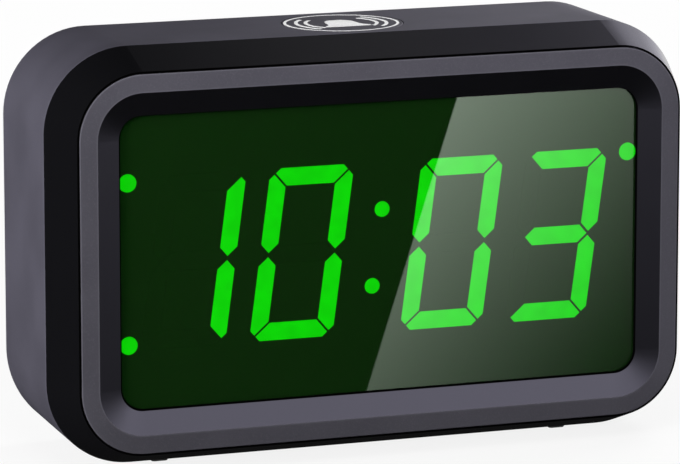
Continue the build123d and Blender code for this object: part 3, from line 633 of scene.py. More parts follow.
@dataclass(frozen=True)
class CircuitBoard:
    """Green solder mask with copper tracks under it and plated holes."""

    name: str = "board_laminate"
    mask: Colour = (0.008, 0.075, 0.028)
    track: Colour = (0.016, 0.125, 0.045)
    plated: Colour = (0.55, 0.42, 0.2)
    roughness: float = 0.32
    track_pitch: float = 1.27
    track_share: float = 0.28
    track_height: float = 0.035
    track_patch: float = 16.0
    track_range: Span = (0.42, 0.46)
    bend_patch: float = 9.0
    bend_range: Span = (0.45, 0.55)
    bend_reach: float = 4.0
    hole_pitch: float = 5.08
    hole_radius: float = 0.55
    hole_blur: float = 0.05
    hole_patch: float = 11.0
    hole_range: Span = (0.55, 0.58)

    def material(self) -> bpy.types.Material:
        """Makes the material.

        Returns:
            The material.
        """
        tree = new_tree(self.name)
        place = tree.place()
        x, _, z = tree.axes(place)
        bend = tree.noise(place, self.bend_patch, 0.0).step(*self.bend_range)
        lane = (x + self.bend_reach * bend).repeat(self.track_pitch)
        tracks = lane.band(self.track_pitch / 2, self.track_pitch * self.track_share)
        tracks = tracks * tree.noise(place, self.track_patch, 0.0).step(*self.track_range)
        across = x.repeat(self.hole_pitch) - self.hole_pitch / 2
        along = z.repeat(self.hole_pitch) - self.hole_pitch / 2
        holes = (across * across + along * along).root().below(self.hole_radius, self.hole_blur)
        holes = holes * tree.noise(place, self.hole_patch, 0.0).step(*self.hole_range)
        surface = tree.principled(
            {
                "Base Color": tree.mix(holes, tree.mix(tracks, self.mask, self.track), self.plated),
                "Roughness": self.roughness + 0.1 * tracks,
                "Metallic": holes,
                "Normal": tree.bump(tracks, self.track_height),
            }
        )
        return tree.finish(surface)


@dataclass(frozen=True)
class DrawnSteel:
    """Plated steel with fine drawing marks and a little tarnish."""

    name: str
    colour: Colour = (0.62, 0.60, 0.57)
    tarnish: Colour = (0.34, 0.31, 0.28)
    roughness: float = 0.3
    mark_size: float = 0.18
    mark_stretch: Place = (1.0, 1.0, 0.12)
    mark_depth: float = 0.006
    stain_size: float = 2.6
    stain_range: Span = (0.5, 0.85)

    def material(self) -> bpy.types.Material:
        """Makes the material.

        Returns:
            The material.
        """
        tree = new_tree(self.name)
        place = tree.place()
        marks = tree.noise(tree.stretched(place, self.mark_stretch), self.mark_size, 2.0)
        stain = tree.noise(place, self.stain_size, 4.0).step(*self.stain_range)
        surface = tree.principled(
            {
                "Base Color": tree.mix(stain, self.colour, self.tarnish),
                "Roughness": self.roughness + 0.25 * (marks - 0.5) + 0.2 * stain,
                "Metallic": 1.0,
                "Normal": tree.bump(marks, self.mark_depth),
            }
        )
        return tree.finish(surface)


@dataclass(frozen=True)
class CellWrap:
    """Battery cells: a printed sleeve with plain bands, and bare steel ends."""

    name: str = "cell_can"
    sleeve: Colour = (0.50, 0.52, 0.54)
    band: Colour = (0.03, 0.16, 0.10)
    steel: Colour = (0.66, 0.64, 0.60)
    roughness: float = 0.34
    sleeve_metal: float = 0.35
    sleeve_end: float = 1.3
    end_blur: float = 0.05
    band_share: float = 0.32
    band_blur: float = 0.1
    line_gap: float = 1.4
    line_width: float = 0.45
    grain_size: float = 0.25
    grain_share: float = 0.2
    grain_depth: float = 0.004

    def material(self) -> bpy.types.Material:
        """Makes the material, with its bands at the ends of the row of cells.

        Returns:
            The material.
        """
        tree = new_tree(self.name)
        low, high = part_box("aa_cells")
        half_length = (high.x - low.x) / 2 / MM
        band_end = half_length * (1 - self.band_share)
        place = tree.place(middle_of("aa_cells"))
        reach = abs(tree.axes(place)[0])
        bare = reach.above(half_length - self.sleeve_end, self.end_blur)
        band = reach.above(band_end, self.band_blur)
        line = reach.band(band_end - self.line_gap, self.line_width)
        grain = tree.noise(place, self.grain_size, 1.0)
        sleeve = tree.mix(band.at_least(line), self.sleeve, self.band)
        sleeve = tree.mix(grain * self.grain_share, sleeve, self.steel)
        surface = tree.principled(
            {
                "Base Color": tree.mix(bare, sleeve, self.steel),
                "Metallic": self.sleeve_metal + (1 - self.sleeve_metal) * bare,
                "Roughness": self.roughness - 0.06 * bare + 0.1 * (grain - 0.5),
                "Normal": tree.bump(grain, self.grain_depth),
            }
        )
        return tree.finish(surface)


@dataclass(frozen=True)
class RibbonJacket:
    """Grey ribbon cable with a groove between its wires, darkened by painted shade, and one marked wire."""

    name: str = "ribbon_grey"
    colour: Colour = (0.33, 0.33, 0.35)
    marked: Colour = (0.42, 0.03, 0.025)
    wire_pitch: float = 1.27
    mark_blur: float = 0.1
    roughness: float = 0.45
    nap_size: float = 0.6
    groove_depth: float = 0.25
    groove_painted_shade: float = 0.55

    def material(self) -> bpy.types.Material:
        """Makes the material.

        Returns:
            The material.
        """
        tree = new_tree(self.name)
        place = tree.place((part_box("ribbon_cable")[0].x / MM, 0.0, 0.0))
        x = tree.axes(place)[0]
        wires = x.repeat(self.wire_pitch).band(self.wire_pitch / 2, self.wire_pitch / 2)
        first = x.step(self.wire_pitch, self.wire_pitch - self.mark_blur)
        # Grooves between the wires darker: painted shade.
        jacket = tree.mix(wires, shade(self.colour, self.groove_painted_shade), self.colour)
        surface = tree.principled(
            {
                "Base Color": tree.mix(first, jacket, self.marked),
                "Roughness": self.roughness + 0.12 * tree.noise(place, self.nap_size, 2.0),
                "Normal": tree.bump(wires, self.groove_depth),
            }
        )
        return tree.finish(surface)


@dataclass(frozen=True)
class PrintedInk:
    """Pad-printed ink, a little uneven."""

    name: str = "white_ink"
    colour: Colour = (0.97, 0.97, 0.97)
    worn: float = 0.86
    worn_range: Span = (0.3, 0.75)
    roughness: float = 0.5
    blot_size: float = 0.35
    blot_depth: float = 0.004

    def material(self) -> bpy.types.Material:
        """Makes the material.

        Returns:
            The material.
        """
        tree = new_tree(self.name)
        blot = tree.noise(tree.place(), self.blot_size, 3.0)
        wear = blot.step(*self.worn_range)
        surface = tree.principled(
            {
                "Base Color": tree.mix(wear, self.colour, shade(self.colour, self.worn)),
                "Roughness": self.roughness + 0.15 * (blot - 0.5),
                "Normal": tree.bump(blot, self.blot_depth),
            }
        )
        return tree.finish(surface)


def dress(piece: bpy.types.Object, material: bpy.types.Material) -> None:
    """Gives a piece one material."""
    piece.data.materials.clear()
    piece.data.materials.append(material)


def dress_nodes(*finishes: tuple[bpy.types.Material, Sequence[str]]) -> None:
    """Gives nodes of the frame their materials and reports each.

    Args:
        finishes: a material and the names of the nodes that take it.
    """
    for material, names in finishes:
        for name in names:
            dress(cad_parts[name], material)
            LOG.info("dressed %s in %s", name, material.name)


class Workbench:
    """Models one new piece by hand in edit mode, flat on its own ground, then puts it in place.

    On the bench a mark is drawn in millimetres, with X to its right, Y up and Z out of the surface.
    """

    def __init__(self, name: str) -> None:
        """Clears the selection.

        Args:
            name: the piece's name.
        """
        self.name = name
        self.object: Optional[bpy.types.Object] = None
        bpy.ops.object.select_all(action="DESELECT")

    def _begin(self) -> None:
        """Names the new primitive and opens it for editing."""
        self.object = bpy.context.object
        self.object.name = self.name
        self.object.data.name = self.name
        bpy.ops.object.mode_set(mode="EDIT")

    def disc(self, radius: float, corners: int = 72) -> "Workbench":
        """Starts with a flat disc about the origin.

        Args:
            radius: radius of its corners.
            corners: how many corners it has.

        Returns:
            The bench.
        """
        bpy.ops.mesh.primitive_circle_add(vertices=corners, radius=radius, fill_type="NGON")
        self._begin()
        return self

    def plate(self, width: float, height: float, rise: float = 0.0) -> "Workbench":
        """Starts with a flat plate.

        Args:
            width: size along X.
            height: size along Y.
            rise: how far its middle is above the origin.

        Returns:
            The bench.
        """
        middle = (0, rise, 0)
        bpy.ops.mesh.primitive_plane_add(size=1, location=middle)
        self._begin()
        bpy.ops.transform.resize(value=(width, height, 1), center_override=middle)
        return self

    def pick(self, test: Callable[[Vector], bool]) -> "Workbench":
        """Selects the edges whose middle passes a test.

        Args:
            test: says yes to a middle, as the bench sees it.

        Returns:
            The bench.
        """
        bpy.ops.mesh.select_all(action="DESELECT")
        bpy.context.tool_settings.mesh_select_mode = (False, True, False)
        mesh = bmesh.from_edit_mesh(self.object.data)
        for edge in mesh.edges:
            first, second = (self.object.matrix_world @ corner.co for corner in edge.verts)
            edge.select_set(test((first + second) / 2))
        mesh.select_flush_mode()
        bmesh.update_edit_mesh(self.object.data)
        return self

    def ring(self, width: float) -> "Workbench":
        """Opens the middle of the flat face and leaves a rim.

        Args:
            width: width of the rim.

        Returns:
            The bench.
        """
        bpy.ops.mesh.select_all(action="SELECT")
        bpy.ops.mesh.inset(thickness=width, depth=0)
        bpy.ops.mesh.delete(type="FACE")
        return self

    def pull(self, stations: Sequence[Span]) -> "Workbench":
        """Pulls the picked edge up, station by station, and sets its width at each.

        Args:
            stations: height of each step and the width there as a share of the width before.

        Returns:
            The bench.
        """
        for height, share in stations:
            bpy.ops.mesh.extrude_region_move(TRANSFORM_OT_translate={"value": (0, height, 0)})
            bpy.ops.transform.resize(value=(share, 1, 1), center_override=(0, 0, 0))
        return self

    def cut(self, outward: Span) -> "Workbench":
        """Cuts off what lies beyond a line through the origin.

        Args:
            outward: direction of the part that goes.

        Returns:
            The bench.
        """
        bpy.ops.mesh.select_all(action="SELECT")
        bpy.ops.mesh.bisect(plane_co=(0, 0, 0), plane_no=(*outward, 0), clear_outer=True)
        return self

    def thicken(self, height: float) -> "Workbench":
        """Gives the flat shape its height and closes it.

        Args:
            height: how far it stands out of the surface.

        Returns:
            The bench.
        """
        bpy.ops.mesh.select_all(action="SELECT")
        bpy.ops.mesh.normals_make_consistent(inside=False)
        bpy.ops.object.mode_set(mode="OBJECT")
        wall = self.object.modifiers.new("thickness", "SOLIDIFY")
        wall.thickness = height
        wall.offset = 1.0
        wall.use_even_offset = True
        bpy.ops.object.modifier_apply(modifier=wall.name)
        return self

    def put(self, spot: Sequence[float], facing: Facing, turn: float = 0.0) -> bpy.types.Object:
        """Takes the piece to its place in the frame.

        Args:
            spot: where the bench's origin goes.
            facing: how the mark faces.
            turn: turn in its own plane, in degrees.

        Returns:
            The object, at the origin with its place in its mesh.
        """
        self.object.matrix_world = (
            Matrix.Scale(MM, 4)
            @ Matrix.Translation(Vector(spot))
            @ Matrix(facing.value).transposed().to_4x4()
            @ Matrix.Rotation(math.radians(turn), 4, "Z")
            @ self.object.matrix_world
        )
        bpy.ops.object.select_all(action="DESELECT")
        self.object.select_set(True)
        bpy.context.view_layer.objects.active = self.object
        bpy.ops.object.transform_apply(location=True, rotation=True, scale=True)
        bpy.ops.object.mode_set(mode="EDIT")
        bpy.ops.mesh.select_all(action="SELECT")
        bpy.ops.mesh.normals_make_consistent(inside=False)
        bpy.ops.object.mode_set(mode="OBJECT")
        return self.object


@dataclass
class Marks:
    """Pictograms in white ink. The bell's sizes are shares of its height."""

    ink: bpy.types.Material
    thickness: float = 0.03
    bell_lip: float = 0.09
    bell_width: float = 0.92
    bell_bottom: float = -0.42
    bell_flare: tuple[Span, ...] = (
        (0.1, 0.8),
        (0.12, 0.88),
        (0.2, 0.95),
        (0.16, 0.9),
        (0.1, 0.78),
        (0.06, 0.55),
    )
    arrow_share: float = 0.62
    bar_round: float = 0.3

    def print_on(self, body: Body, bench: Workbench, spot: Sequence[float], turn: float = 0.0) -> None:
        """Puts a mark in its place, inks it and lets it ride.

        Args:
            body: what it is printed on.
            bench: the bench with the mark on it.
            spot: where the mark's middle goes.
            turn: turn in its own plane, in degrees.
        """
        piece = bench.put(spot, Facing.TOP if body is Body.SNOOZE else Facing.REAR, turn)
        dress(piece, self.ink)
        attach(piece, body.value)
        LOG.info("printed %s on %s", piece.name, body.value)

    def circle(self, name: str, radius: float, width: float, end_width: float) -> Workbench:
        """A circle that may be bolder at its top and bottom, to be read from a low angle.

        Args:
            name: the piece's name.
            radius: its outer radius.
            width: width of the line at the left and right.
            end_width: width of the line at the top and bottom.

        Returns:
            The bench with the mark on it.
        """
        bench = Workbench(name).disc(radius).ring(width)
        bench.pick(lambda middle: middle.length < radius - width / 2)
        share = (radius - end_width) / (radius - width)
        bpy.ops.transform.resize(value=(1, share, 1), center_override=(0, 0, 0))
        return bench.thicken(self.thickness)

    def bell(self, name: str, size: float) -> Workbench:
        """A bell, with its lip below and its crown above.

        Args:
            name: the piece's name.
            size: its height.

        Returns:
            The bench with the mark on it.
        """
        lip = self.bell_lip * size
        bottom = self.bell_bottom * size
        bench = Workbench(name).plate(self.bell_width * size, lip, bottom)
        bench.pick(lambda middle: middle.y > bottom + lip / 4)
        bench.pull([(step * size, share) for step, share in self.bell_flare])
        return bench.thicken(self.thickness)

    def arc(self, name: str, radius: float, width: float) -> Workbench:
        """A quarter of a circle to the right.

        Args:
            name: the piece's name.
            radius: its outer radius.
            width: width of the line.

        Returns:
            The bench with the mark on it.
        """
        bench = Workbench(name).disc(radius).ring(width)
        return bench.cut((-1, 1)).cut((-1, -1)).thicken(self.thickness)

    def arrow(self, name: str, size: float) -> Workbench:
        """A triangle that points up."""
        return Workbench(name).disc(size * self.arrow_share, 3).thicken(self.thickness)

    def bar(self, name: str, width: float, height: float) -> Workbench:
        """A short bar with softened corners.

        Args:
            name: the piece's name.
            width: size to the right.
            height: size upwards.

        Returns:
            The bench with the mark on it.
        """
        bench = Workbench(name).plate(width, height)
        bpy.ops.mesh.bevel(offset=min(width, height) * self.bar_round, segments=3, affect="VERTICES")
        return bench.thicken(self.thickness)


@dataclass
class SnoozeButton:
    """The round button on the top, with its printed circle and ringing bell."""

    marks: Marks
    edge_margin: float = 0.42
    circle_width: float = 0.5
    circle_end_width: float = 0.95
    bell_size: float = 9.0
    arc_radii: tuple[float, ...] = (6.6, 8.3)
    arc_width: float = 0.65
    print_shift: Place = (-0.28, -0.2, 0.0)

    def build(self) -> None:
        """Prints the marks on the button's top, a little out of its middle."""
        low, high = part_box("snooze_button")
        radius = (high.y - low.y) / 2 / MM - self.edge_margin
        middle = middle_of("snooze_button")
        spot = Vector((middle.x, middle.y, high.z / MM)) + Vector(self.print_shift)
        marks = self.marks
        circle = marks.circle("snooze_print_circle", radius, self.circle_width, self.circle_end_width)
        marks.print_on(Body.SNOOZE, circle, spot)
        marks.print_on(Body.SNOOZE, marks.bell("snooze_print_bell", self.bell_size), spot)
        for number, arc_radius in enumerate(self.arc_radii, 1):
            for side, turn in (("right", 0), ("left", 180)):
                arc = marks.arc(f"snooze_print_arc_{side}_{number}", arc_radius, self.arc_width)
                marks.print_on(Body.SNOOZE, arc, spot, turn)


@dataclass
class RearMarks:
    """Printed marks beside the rear controls."""

    marks: Marks
    lift: float = 5.1
    size: float = 2.7
    line: float = 0.336
    off_radius: float = 1.134
    hand_line: float = 0.294
    long_hand: float = 0.864
    short_hand: float = 0.6912
    double_size: float = 2.16
    double_shift: float = 0.972
    switch_reach: float = 5.6

    def build(self) -> None:
        """Prints a mark above each key and at both ends of the alarm switch."""
        marks = self.marks
        time, alarm, hour, minute = (middle_of(f"{key}_button") + Vector((0, 0, self.lift)) for key in KEYS)
        self._print(marks.circle("time_mark_dial", self.size / 2, self.line, self.line), time)
        long_hand = marks.bar("time_mark_long_hand", self.hand_line, self.long_hand)
        self._print(long_hand, time, (0, self.long_hand / 2))
        short_hand = marks.bar("time_mark_short_hand", self.short_hand, self.hand_line)
        self._print(short_hand, time, (self.short_hand / 2, 0))
        self._print(marks.bell("alarm_mark_bell", self.size), alarm)
        self._print(marks.arrow("hour_mark_arrow", self.size), hour)
        for number, side in enumerate((-1, 1), 1):
            arrow = marks.arrow(f"minute_mark_arrow_{number}", self.double_size)
            self._print(arrow, minute, (0, side * self.double_shift))
        switch = middle_of("slide_switch_can")
        off_mark = marks.circle("alarm_off_mark", self.off_radius, self.line, self.line)
        self._print(off_mark, switch, (self.switch_reach, 0))
        self._print(marks.bell("alarm_on_mark", self.size), switch, (-self.switch_reach, 0))

    def _print(self, bench: Workbench, middle: Vector, shift: Span = (0, 0)) -> None:
        """Prints one mark on the rear cover.

        Args:
            bench: the bench with the mark on it.
            middle: what the mark stands by.
            shift: how far the mark is to the right and up from there, seen from behind.
        """
        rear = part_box("rear_cover")[1].y / MM
        spot = (middle.x - shift[0], rear, middle.z + shift[1])
        self.marks.print_on(Body.CASE, bench, spot)


@dataclass
class Shell:
    """Housing, bezel, rear cover, door and keys: the mouldings that close the clock."""

    shape: CaseShape
    housing: CasePlastic = CasePlastic("case_plastic", GlossZone.BEVEL)
    bezel: CasePlastic = CasePlastic(
        "bezel_plastic",
        GlossZone.SLOPE,
        # The bezel's satin is darker than the housing's: painted shade that offsets the stronger light on
        # the front face.
        satin=(0.036, 0.0347, 0.041),
        grain_contrast=0.4,
        grain_depth=0.02,
        crown=0.17,
    )
    cover: CasePlastic = CasePlastic("cover_plastic", grain_contrast=0.35, grain_depth=0.018)
    button: CasePlastic = CasePlastic("button_plastic", satin=(0.047, 0.045, 0.057), satin_roughness=0.42)

    def dress(self) -> None:
        """Gives each moulding its plastic."""
        dress_nodes(
            (self.housing.material(self.shape), ["main_housing"]),
            (self.bezel.material(self.shape), ["front_bezel"]),
            (self.cover.material(self.shape), ["rear_cover", "battery_door"]),
            (self.button.material(self.shape), [f"{key}_button" for key in ("snooze", *KEYS)]),
        )


@dataclass
class Display:
    """Lens, reflector and light pipes."""

    shape: CaseShape
    lens: LensTint = LensTint()
    lit: GlowingResin = GlowingResin()
    reflector: SpeckledResin = SpeckledResin("reflector_plastic", (0.003, 0.004, 0.003), 0.6)
    unlit: SpeckledResin = SpeckledResin("segment_dark", (0.003, 0.004, 0.003), 0.6)
    led: SpeckledResin = SpeckledResin("led_resin", (0.62, 0.60, 0.42), 0.35)

    def dress(self) -> None:
        """Gives the display's pieces their finishes."""
        dress_nodes(
            (self.lens.material(self.shape), ["display_lens"]),
            (self.lit.material(), ["lit_segments", "colon_dots", "indicator_dots"]),
            (self.reflector.material(), ["display_reflector"]),
            (self.unlit.material(), ["unlit_segments"]),
            (self.led.material(), ["led_chips"]),
        )


@dataclass
class Inside:
    """Everything behind the display and under the covers."""

    board: CircuitBoard = CircuitBoard()
    screw: DrawnSteel = DrawnSteel("screw_steel", (0.50, 0.49, 0.48), roughness=0.34)
    contact: DrawnSteel = DrawnSteel("contact_steel")
    chip: SpeckledResin = SpeckledResin("chip_resin", (0.012, 0.012, 0.013), 0.55)
    plunger: SpeckledResin = SpeckledResin("plunger_plastic", (0.02, 0.02, 0.021), 0.4)
    cell: CellWrap = CellWrap()
    red_wire: SpeckledResin = SpeckledResin("wire_red", (0.42, 0.012, 0.01), 0.38, 0.5)
    black_wire: SpeckledResin = SpeckledResin("wire_black", (0.012, 0.012, 0.012), 0.38, 0.5)
    grey_wire: SpeckledResin = SpeckledResin("wire_grey", (0.03, 0.03, 0.032), 0.38, 0.5)
    capacitor: SpeckledResin = SpeckledResin("capacitor_sleeve", (0.012, 0.02, 0.05), 0.3, 0.4)
    ribbon: RibbonJacket = RibbonJacket()
    rubber: SpeckledResin = SpeckledResin("foot_rubber", (0.019, 0.019, 0.019), 0.75, 0.2)

    def dress(self) -> None:
        """Gives the inner pieces their finishes."""
        boards = [f"{name}_board" for name in ("display", "control", "snooze")]
        screws = [f"{name}_screws" for name in (*boards, "rear_cover")]
        contacts = ["quartz_crystal", "battery_springs", "battery_contacts", "slide_switch_can"]
        chips = ["driver_chip", "clock_chip", "buzzer", "key_switches", "snooze_switch"]
        plungers = [f"{key}_plunger" for key in ("snooze", *KEYS)]
        dress_nodes(
            (self.board.material(), boards),
            (self.screw.material(), screws),
            (self.contact.material(), contacts),
            (self.chip.material(), chips),
            (self.plunger.material(), [*plungers, "slide_knob"]),
            (self.cell.material(), ["aa_cells"]),
            (self.red_wire.material(), ["battery_lead_red"]),
            (self.black_wire.material(), ["battery_lead_black"]),
            (self.grey_wire.material(), ["snooze_leads"]),
            (self.capacitor.material(), ["capacitor"]),
            (self.ribbon.material(), ["ribbon_cable"]),
            (self.rubber.material(), ["rubber_feet"]),
        )


@dataclass(frozen=True)
class PhotoCamera:
    """The camera that took the picture, as fitted to the case's edges."""

    picture_width: float = 680.0
    focal_pixels: float = 4877.66
    sensor_width: float = 36.0
    azimuth: float = -19.999
    elevation: float = 10.882
    distance: float = 842.538
    shift_right: float = -7.860
    shift_up: float = 2.879
    target: Place = (0.0, -17.5, 37.3)
    clip: Span = (0.05, 50.0)

    def axes(self) -> tuple[Vector, Vector, Vector]:
        """Directions from the clock to the camera, to the picture's right and to its top.

        Returns:
            The three unit vectors.
        """
        turn = math.radians(self.azimuth)
        rise = math.radians(self.elevation)
        back = Vector((math.sin(turn) * math.cos(rise), -math.cos(turn) * math.cos(rise), math.sin(rise)))
        right = Vector((math.cos(turn), math.sin(turn), 0.0))
        return back, right, back.cross(right)

    def spot(self) -> Vector:
        """Where the camera stands."""
        back, right, up = self.axes()
        return Vector(self.target) + back * self.distance + right * self.shift_right + up * self.shift_up

    def build(self) -> None:
        """Makes the camera the scene's own."""
        data = bpy.data.cameras.new("photo_camera")
        data.sensor_fit = "HORIZONTAL"
        data.sensor_width = self.sensor_width
        data.lens = self.focal_pixels * self.sensor_width / self.picture_width
        data.clip_start, data.clip_end = self.clip
        camera = bpy.data.objects.new("photo_camera", data)
        bpy.context.scene.collection.objects.link(camera)
        back, right, up = self.axes()
        rotation = Matrix((right, up, back)).transposed()
        camera.matrix_world = Matrix.Translation(self.spot() * MM) @ rotation.to_4x4()
        bpy.context.scene.camera = camera


@dataclass(frozen=True)
class Softbox:
    """One soft lamp, aimed at the clock, that no reflection shows. Its place and size are in metres."""

    name: str
    spot: Place
    width: float
    height: float
    radiance: float

    def build(self, target: Vector) -> None:
        """Hangs the lamp.

        Args:
            target: point in metres that it faces.
        """
        data = bpy.data.lights.new(self.name, "AREA")
        data.shape = "RECTANGLE"
        data.size = self.width
        data.size_y = self.height
        data.energy = self.radiance * math.pi * self.width * self.height
        lamp = bpy.data.objects.new(self.name, data)
        bpy.context.scene.collection.objects.link(lamp)
        place = Vector(self.spot)
        lamp.location = place
        lamp.rotation_euler = (target - place).to_track_quat("-Z", "Y").to_euler()
        lamp.visible_camera = False
        lamp.visible_glossy = False


@dataclass(frozen=True)
class Card:
    """A studio card that only reflections show, on the whole clock or on some nodes. Sizes are in metres."""

    name: str
    spot: Place
    width: float
    height: float
    facing: Place
    low: float
    high: float
    fade: Span = (-1.0, 1.0)
    tint: Colour = WHITE
    lit_nodes: tuple[str, ...] = ()

    def level(self, tree: ShaderTree) -> Wire:
        """Light of the card, from low to high between two places along X."""
        share = tree.axes(tree.place())[0].step(self.fade[0] / MM, self.fade[1] / MM)
        return self.low + (self.high - self.low) * share

    def build(self) -> None:
        """Sets the card up."""
        bpy.ops.object.select_all(action="DESELECT")
        bpy.ops.mesh.primitive_plane_add(size=1)
        card = bpy.context.object
        card.name = self.name
        bpy.ops.transform.resize(value=(self.width, self.height, 1))
        card.location = self.spot
        card.rotation_euler = Vector(self.facing).to_track_quat("Z", "Y").to_euler()
        bpy.ops.object.transform_apply(location=True, rotation=True, scale=True)
        card.visible_camera = False
        card.visible_diffuse = False
        card.visible_shadow = False
        card.visible_transmission = False
        dress(card, self._glow())
        if self.lit_nodes:
            receivers = bpy.data.collections.new(f"{self.name}_receivers")
            for node in self.lit_nodes:
                receivers.objects.link(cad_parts[node])
            card.light_linking.receiver_collection = receivers

    def _glow(self) -> bpy.types.Material:
        """The card's own light, tinted.

        Returns:
            The material.
        """
        tree = new_tree(self.name)
        level = self.level(tree)
        parts = {axis: level * share for axis, share in enumerate(self.tint)}
        light = tree.node("ShaderNodeCombineXYZ", None, parts)
        return tree.finish(tree.surface("Emission", {"Color": Wire(tree, light.outputs[0])}))


@dataclass(frozen=True)
class HazeCard(Card):
    """A wall of haze, dark below and brighter the higher over the clock it is seen."""

    middle: Place = (0.0, -0.017, 0.037)
    darkest: float = -0.7
    power: float = 3.8
    left_share: float = 0.9
    right_gain: float = 0.36

    def level(self, tree: ShaderTree) -> Wire:
        """Light of the card, which grows with the height of its direction from the clock.

        Args:
            tree: tree that gets the nodes.

        Returns:
            The light.
        """
        x, y, z = tree.axes(tree.place(tuple(part / MM for part in self.middle)))
        length = (x * x + y * y + z * z).root()
        height = ((z / length - self.darkest) / -self.darkest).at_least(0.0)
        light = (self.low + height**self.power).at_most(self.high)
        return light * (self.left_share + self.right_gain * x / length)


@dataclass(frozen=True)
class GlareCard(Card):
    """The card that the lens mirrors: dark up to a slanting edge, then bright and fading away.

    The edge's ends and the fade are places on the lens, in millimetres from its middle.
    """

    lit_nodes: tuple[str, ...] = ("display_lens", "front_bezel")
    camera: PhotoCamera = PhotoCamera()
    edge_top: Span = (14.04, 25.6)
    edge_bottom: Span = (-2.71, -25.4)
    edge_blur: float = 0.2
    fade_start: float = 0.357
    fade_right: float = -0.0042
    fade_up: float = 0.0041
    radiance: float = 29.5

    def level(self, tree: ShaderTree) -> Wire:
        """Light of the card, worked out at the point of the lens that mirrors it to the camera.

        Args:
            tree: tree that gets the nodes.

        Returns:
            The light.
        """
        lens_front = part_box("display_lens")[0].y / MM
        lens_middle = middle_of("display_lens")
        eye = self.camera.spot()
        mirrored_y = 2 * lens_front - eye.y
        reach = (self.spot[1] / MM - mirrored_y) / (lens_front - mirrored_y)
        card_x, _, card_z = tree.axes(tree.place())
        x = (card_x - eye.x) / reach + (eye.x - lens_middle.x)
        z = (card_z - eye.z) / reach + (eye.z - lens_middle.z)
        lean = (self.edge_top[0] - self.edge_bottom[0]) / (self.edge_top[1] - self.edge_bottom[1])
        beyond = x - lean * z - (self.edge_top[0] - lean * self.edge_top[1])
        fade = (self.fade_start + self.fade_right * x + self.fade_up * z).at_least(0.0)
        return self.low + beyond.above(0.0, self.edge_blur) * fade * fade * self.radiance


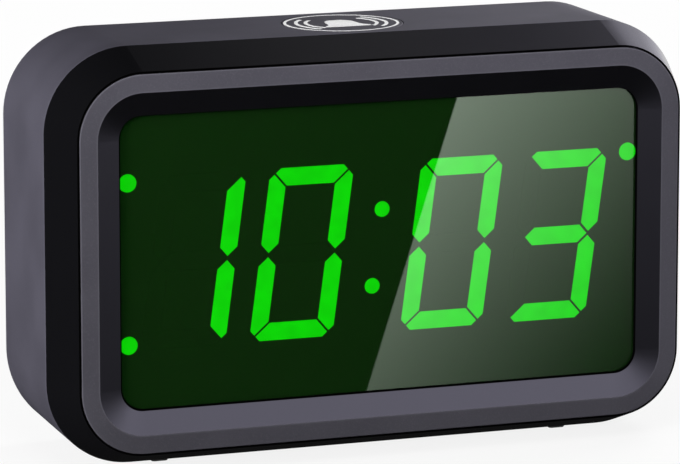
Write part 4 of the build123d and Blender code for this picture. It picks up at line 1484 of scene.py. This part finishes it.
@dataclass
class Studio:
    """Floor, world, lamps and cards round the clock. Sizes are in metres."""

    camera: PhotoCamera
    floor_size: float = 6.0
    floor_colour: float = 0.3
    floor_shown: float = 0.8
    floor_glow: Span = (0.86, 0.985)
    floor_fade: Span = (0.06, 0.45)
    ambient: float = 0.22
    softboxes: tuple[Softbox, ...] = (
        Softbox("front_softbox", (0.3, -0.92, 0.42), 0.62, 0.34, 2.3),
        Softbox("left_softbox", (-0.42, -0.12, 0.075), 0.3, 0.14, 24.0),
        Softbox("crown_softbox", (-0.1, -0.24, 0.3), 0.16, 0.16, 5.9),
        Softbox("top_softbox", (0.24, 0.12, 0.32), 0.16, 0.16, 9.1),
        Softbox("rear_softbox", (-0.2, 0.9, 0.06), 0.6, 0.1, 8.0),
    )
    cards: tuple[Card, ...] = (
        HazeCard("front_wall", (0.2, -0.62, 0.05), 2.8, 1.8, (0, 1, 0), 0.02, 2.6),
        Card("left_wall", (-0.5, 0.1, 0.0), 1.6, 1.4, (1, 0, 0), 0.005, 0.005),
        Card("rear_wall", (-0.4, 0.7, 0.2), 1.64, 1.2, (0, -1, 0), 0.02, 0.4, (0.15, 0.4)),
        Card("right_wall", (1.0, 0.6, 0.4), 1.6, 1.8, (-1, 0, 0), 0.88, 0.88, tint=HAZE),
        Card("ceiling", (-0.14, 0.17, 0.3), 0.54, 0.6, (0, 0, -1), 0.01, 0.145, (0.025, 0.125)),
        Card("bright_ceiling", (0.33, 0.17, 0.3), 0.4, 0.6, (0, 0, -1), 0.145, 1.0, (0.147, 0.268), HAZE),
        Card("under_shade", (-0.02, 0.02, 0.0003), 0.19, 0.1, (0, 0, 1), 0.01, 0.01),
        GlareCard("glare_card", (0.185, -0.5, -0.065), 0.19, 0.12, (0, 1, 0), 0.0, 0.0),
    )

    def build(self) -> None:
        """Sets up the whole studio."""
        bpy.context.scene.view_settings.view_transform = "Standard"
        self._floor()
        self._world()
        target = Vector(self.camera.target) * MM
        for softbox in self.softboxes:
            softbox.build(target)
        for card in self.cards:
            card.build()

    @staticmethod
    def _seen(tree: ShaderTree) -> Wire:
        """1 for rays from the camera, from mirrors and through glass, 0 for the light itself.

        Args:
            tree: tree that gets the nodes.

        Returns:
            The share.
        """
        path = tree.node("ShaderNodeLightPath")
        camera, glossy, through = (
            Wire(tree, path.outputs[f"Is {kind} Ray"]) for kind in ("Camera", "Glossy", "Transmission")
        )
        return (camera + glossy + through).at_most(1.0)

    def _floor(self) -> None:
        """Lays the white floor, which keeps the clock's shadow near it."""
        bpy.ops.object.select_all(action="DESELECT")
        bpy.ops.mesh.primitive_plane_add(size=self.floor_size)
        floor = bpy.context.object
        floor.name = "floor"
        floor.visible_glossy = False
        tree = new_tree("floor_white")
        seen = self._seen(tree)
        colour = tree.mix(seen, (self.floor_colour,) * 3, (self.floor_shown,) * 3)
        x, y, _ = tree.axes(tree.place())
        away = (x * x + y * y).root().step(*(reach / MM for reach in self.floor_fade))
        near, far = self.floor_glow
        pale = tree.surface("BsdfDiffuse", {"Color": colour})
        white = tree.surface("Emission", {"Color": (*WHITE, 1.0)})
        dress(floor, tree.finish(tree.blend(seen * (near + (far - near) * away), pale, white)))

    def _world(self) -> None:
        """Makes the world white to look at and a plain grey as light."""
        world = bpy.data.worlds.new("studio_world")
        bpy.context.scene.world = world
        tree = ShaderTree(world)
        strength = self.ambient + (1 - self.ambient) * self._seen(tree)
        tree.finish(tree.surface("Background", {"Color": (*WHITE, 1.0), "Strength": strength}))


def main() -> None:
    """Builds the clock's looks and its studio in order."""
    logging.basicConfig(level=logging.INFO, format="%(name)s: %(message)s")
    camera = PhotoCamera()
    camera.build()
    Studio(camera).build()
    shape = CaseShape()
    Shell(shape).dress()
    Display(shape).dress()
    Inside().dress()
    marks = Marks(PrintedInk().material())
    SnoozeButton(marks).build()
    RearMarks(marks).build()


if __name__ == "__main__":
    main()
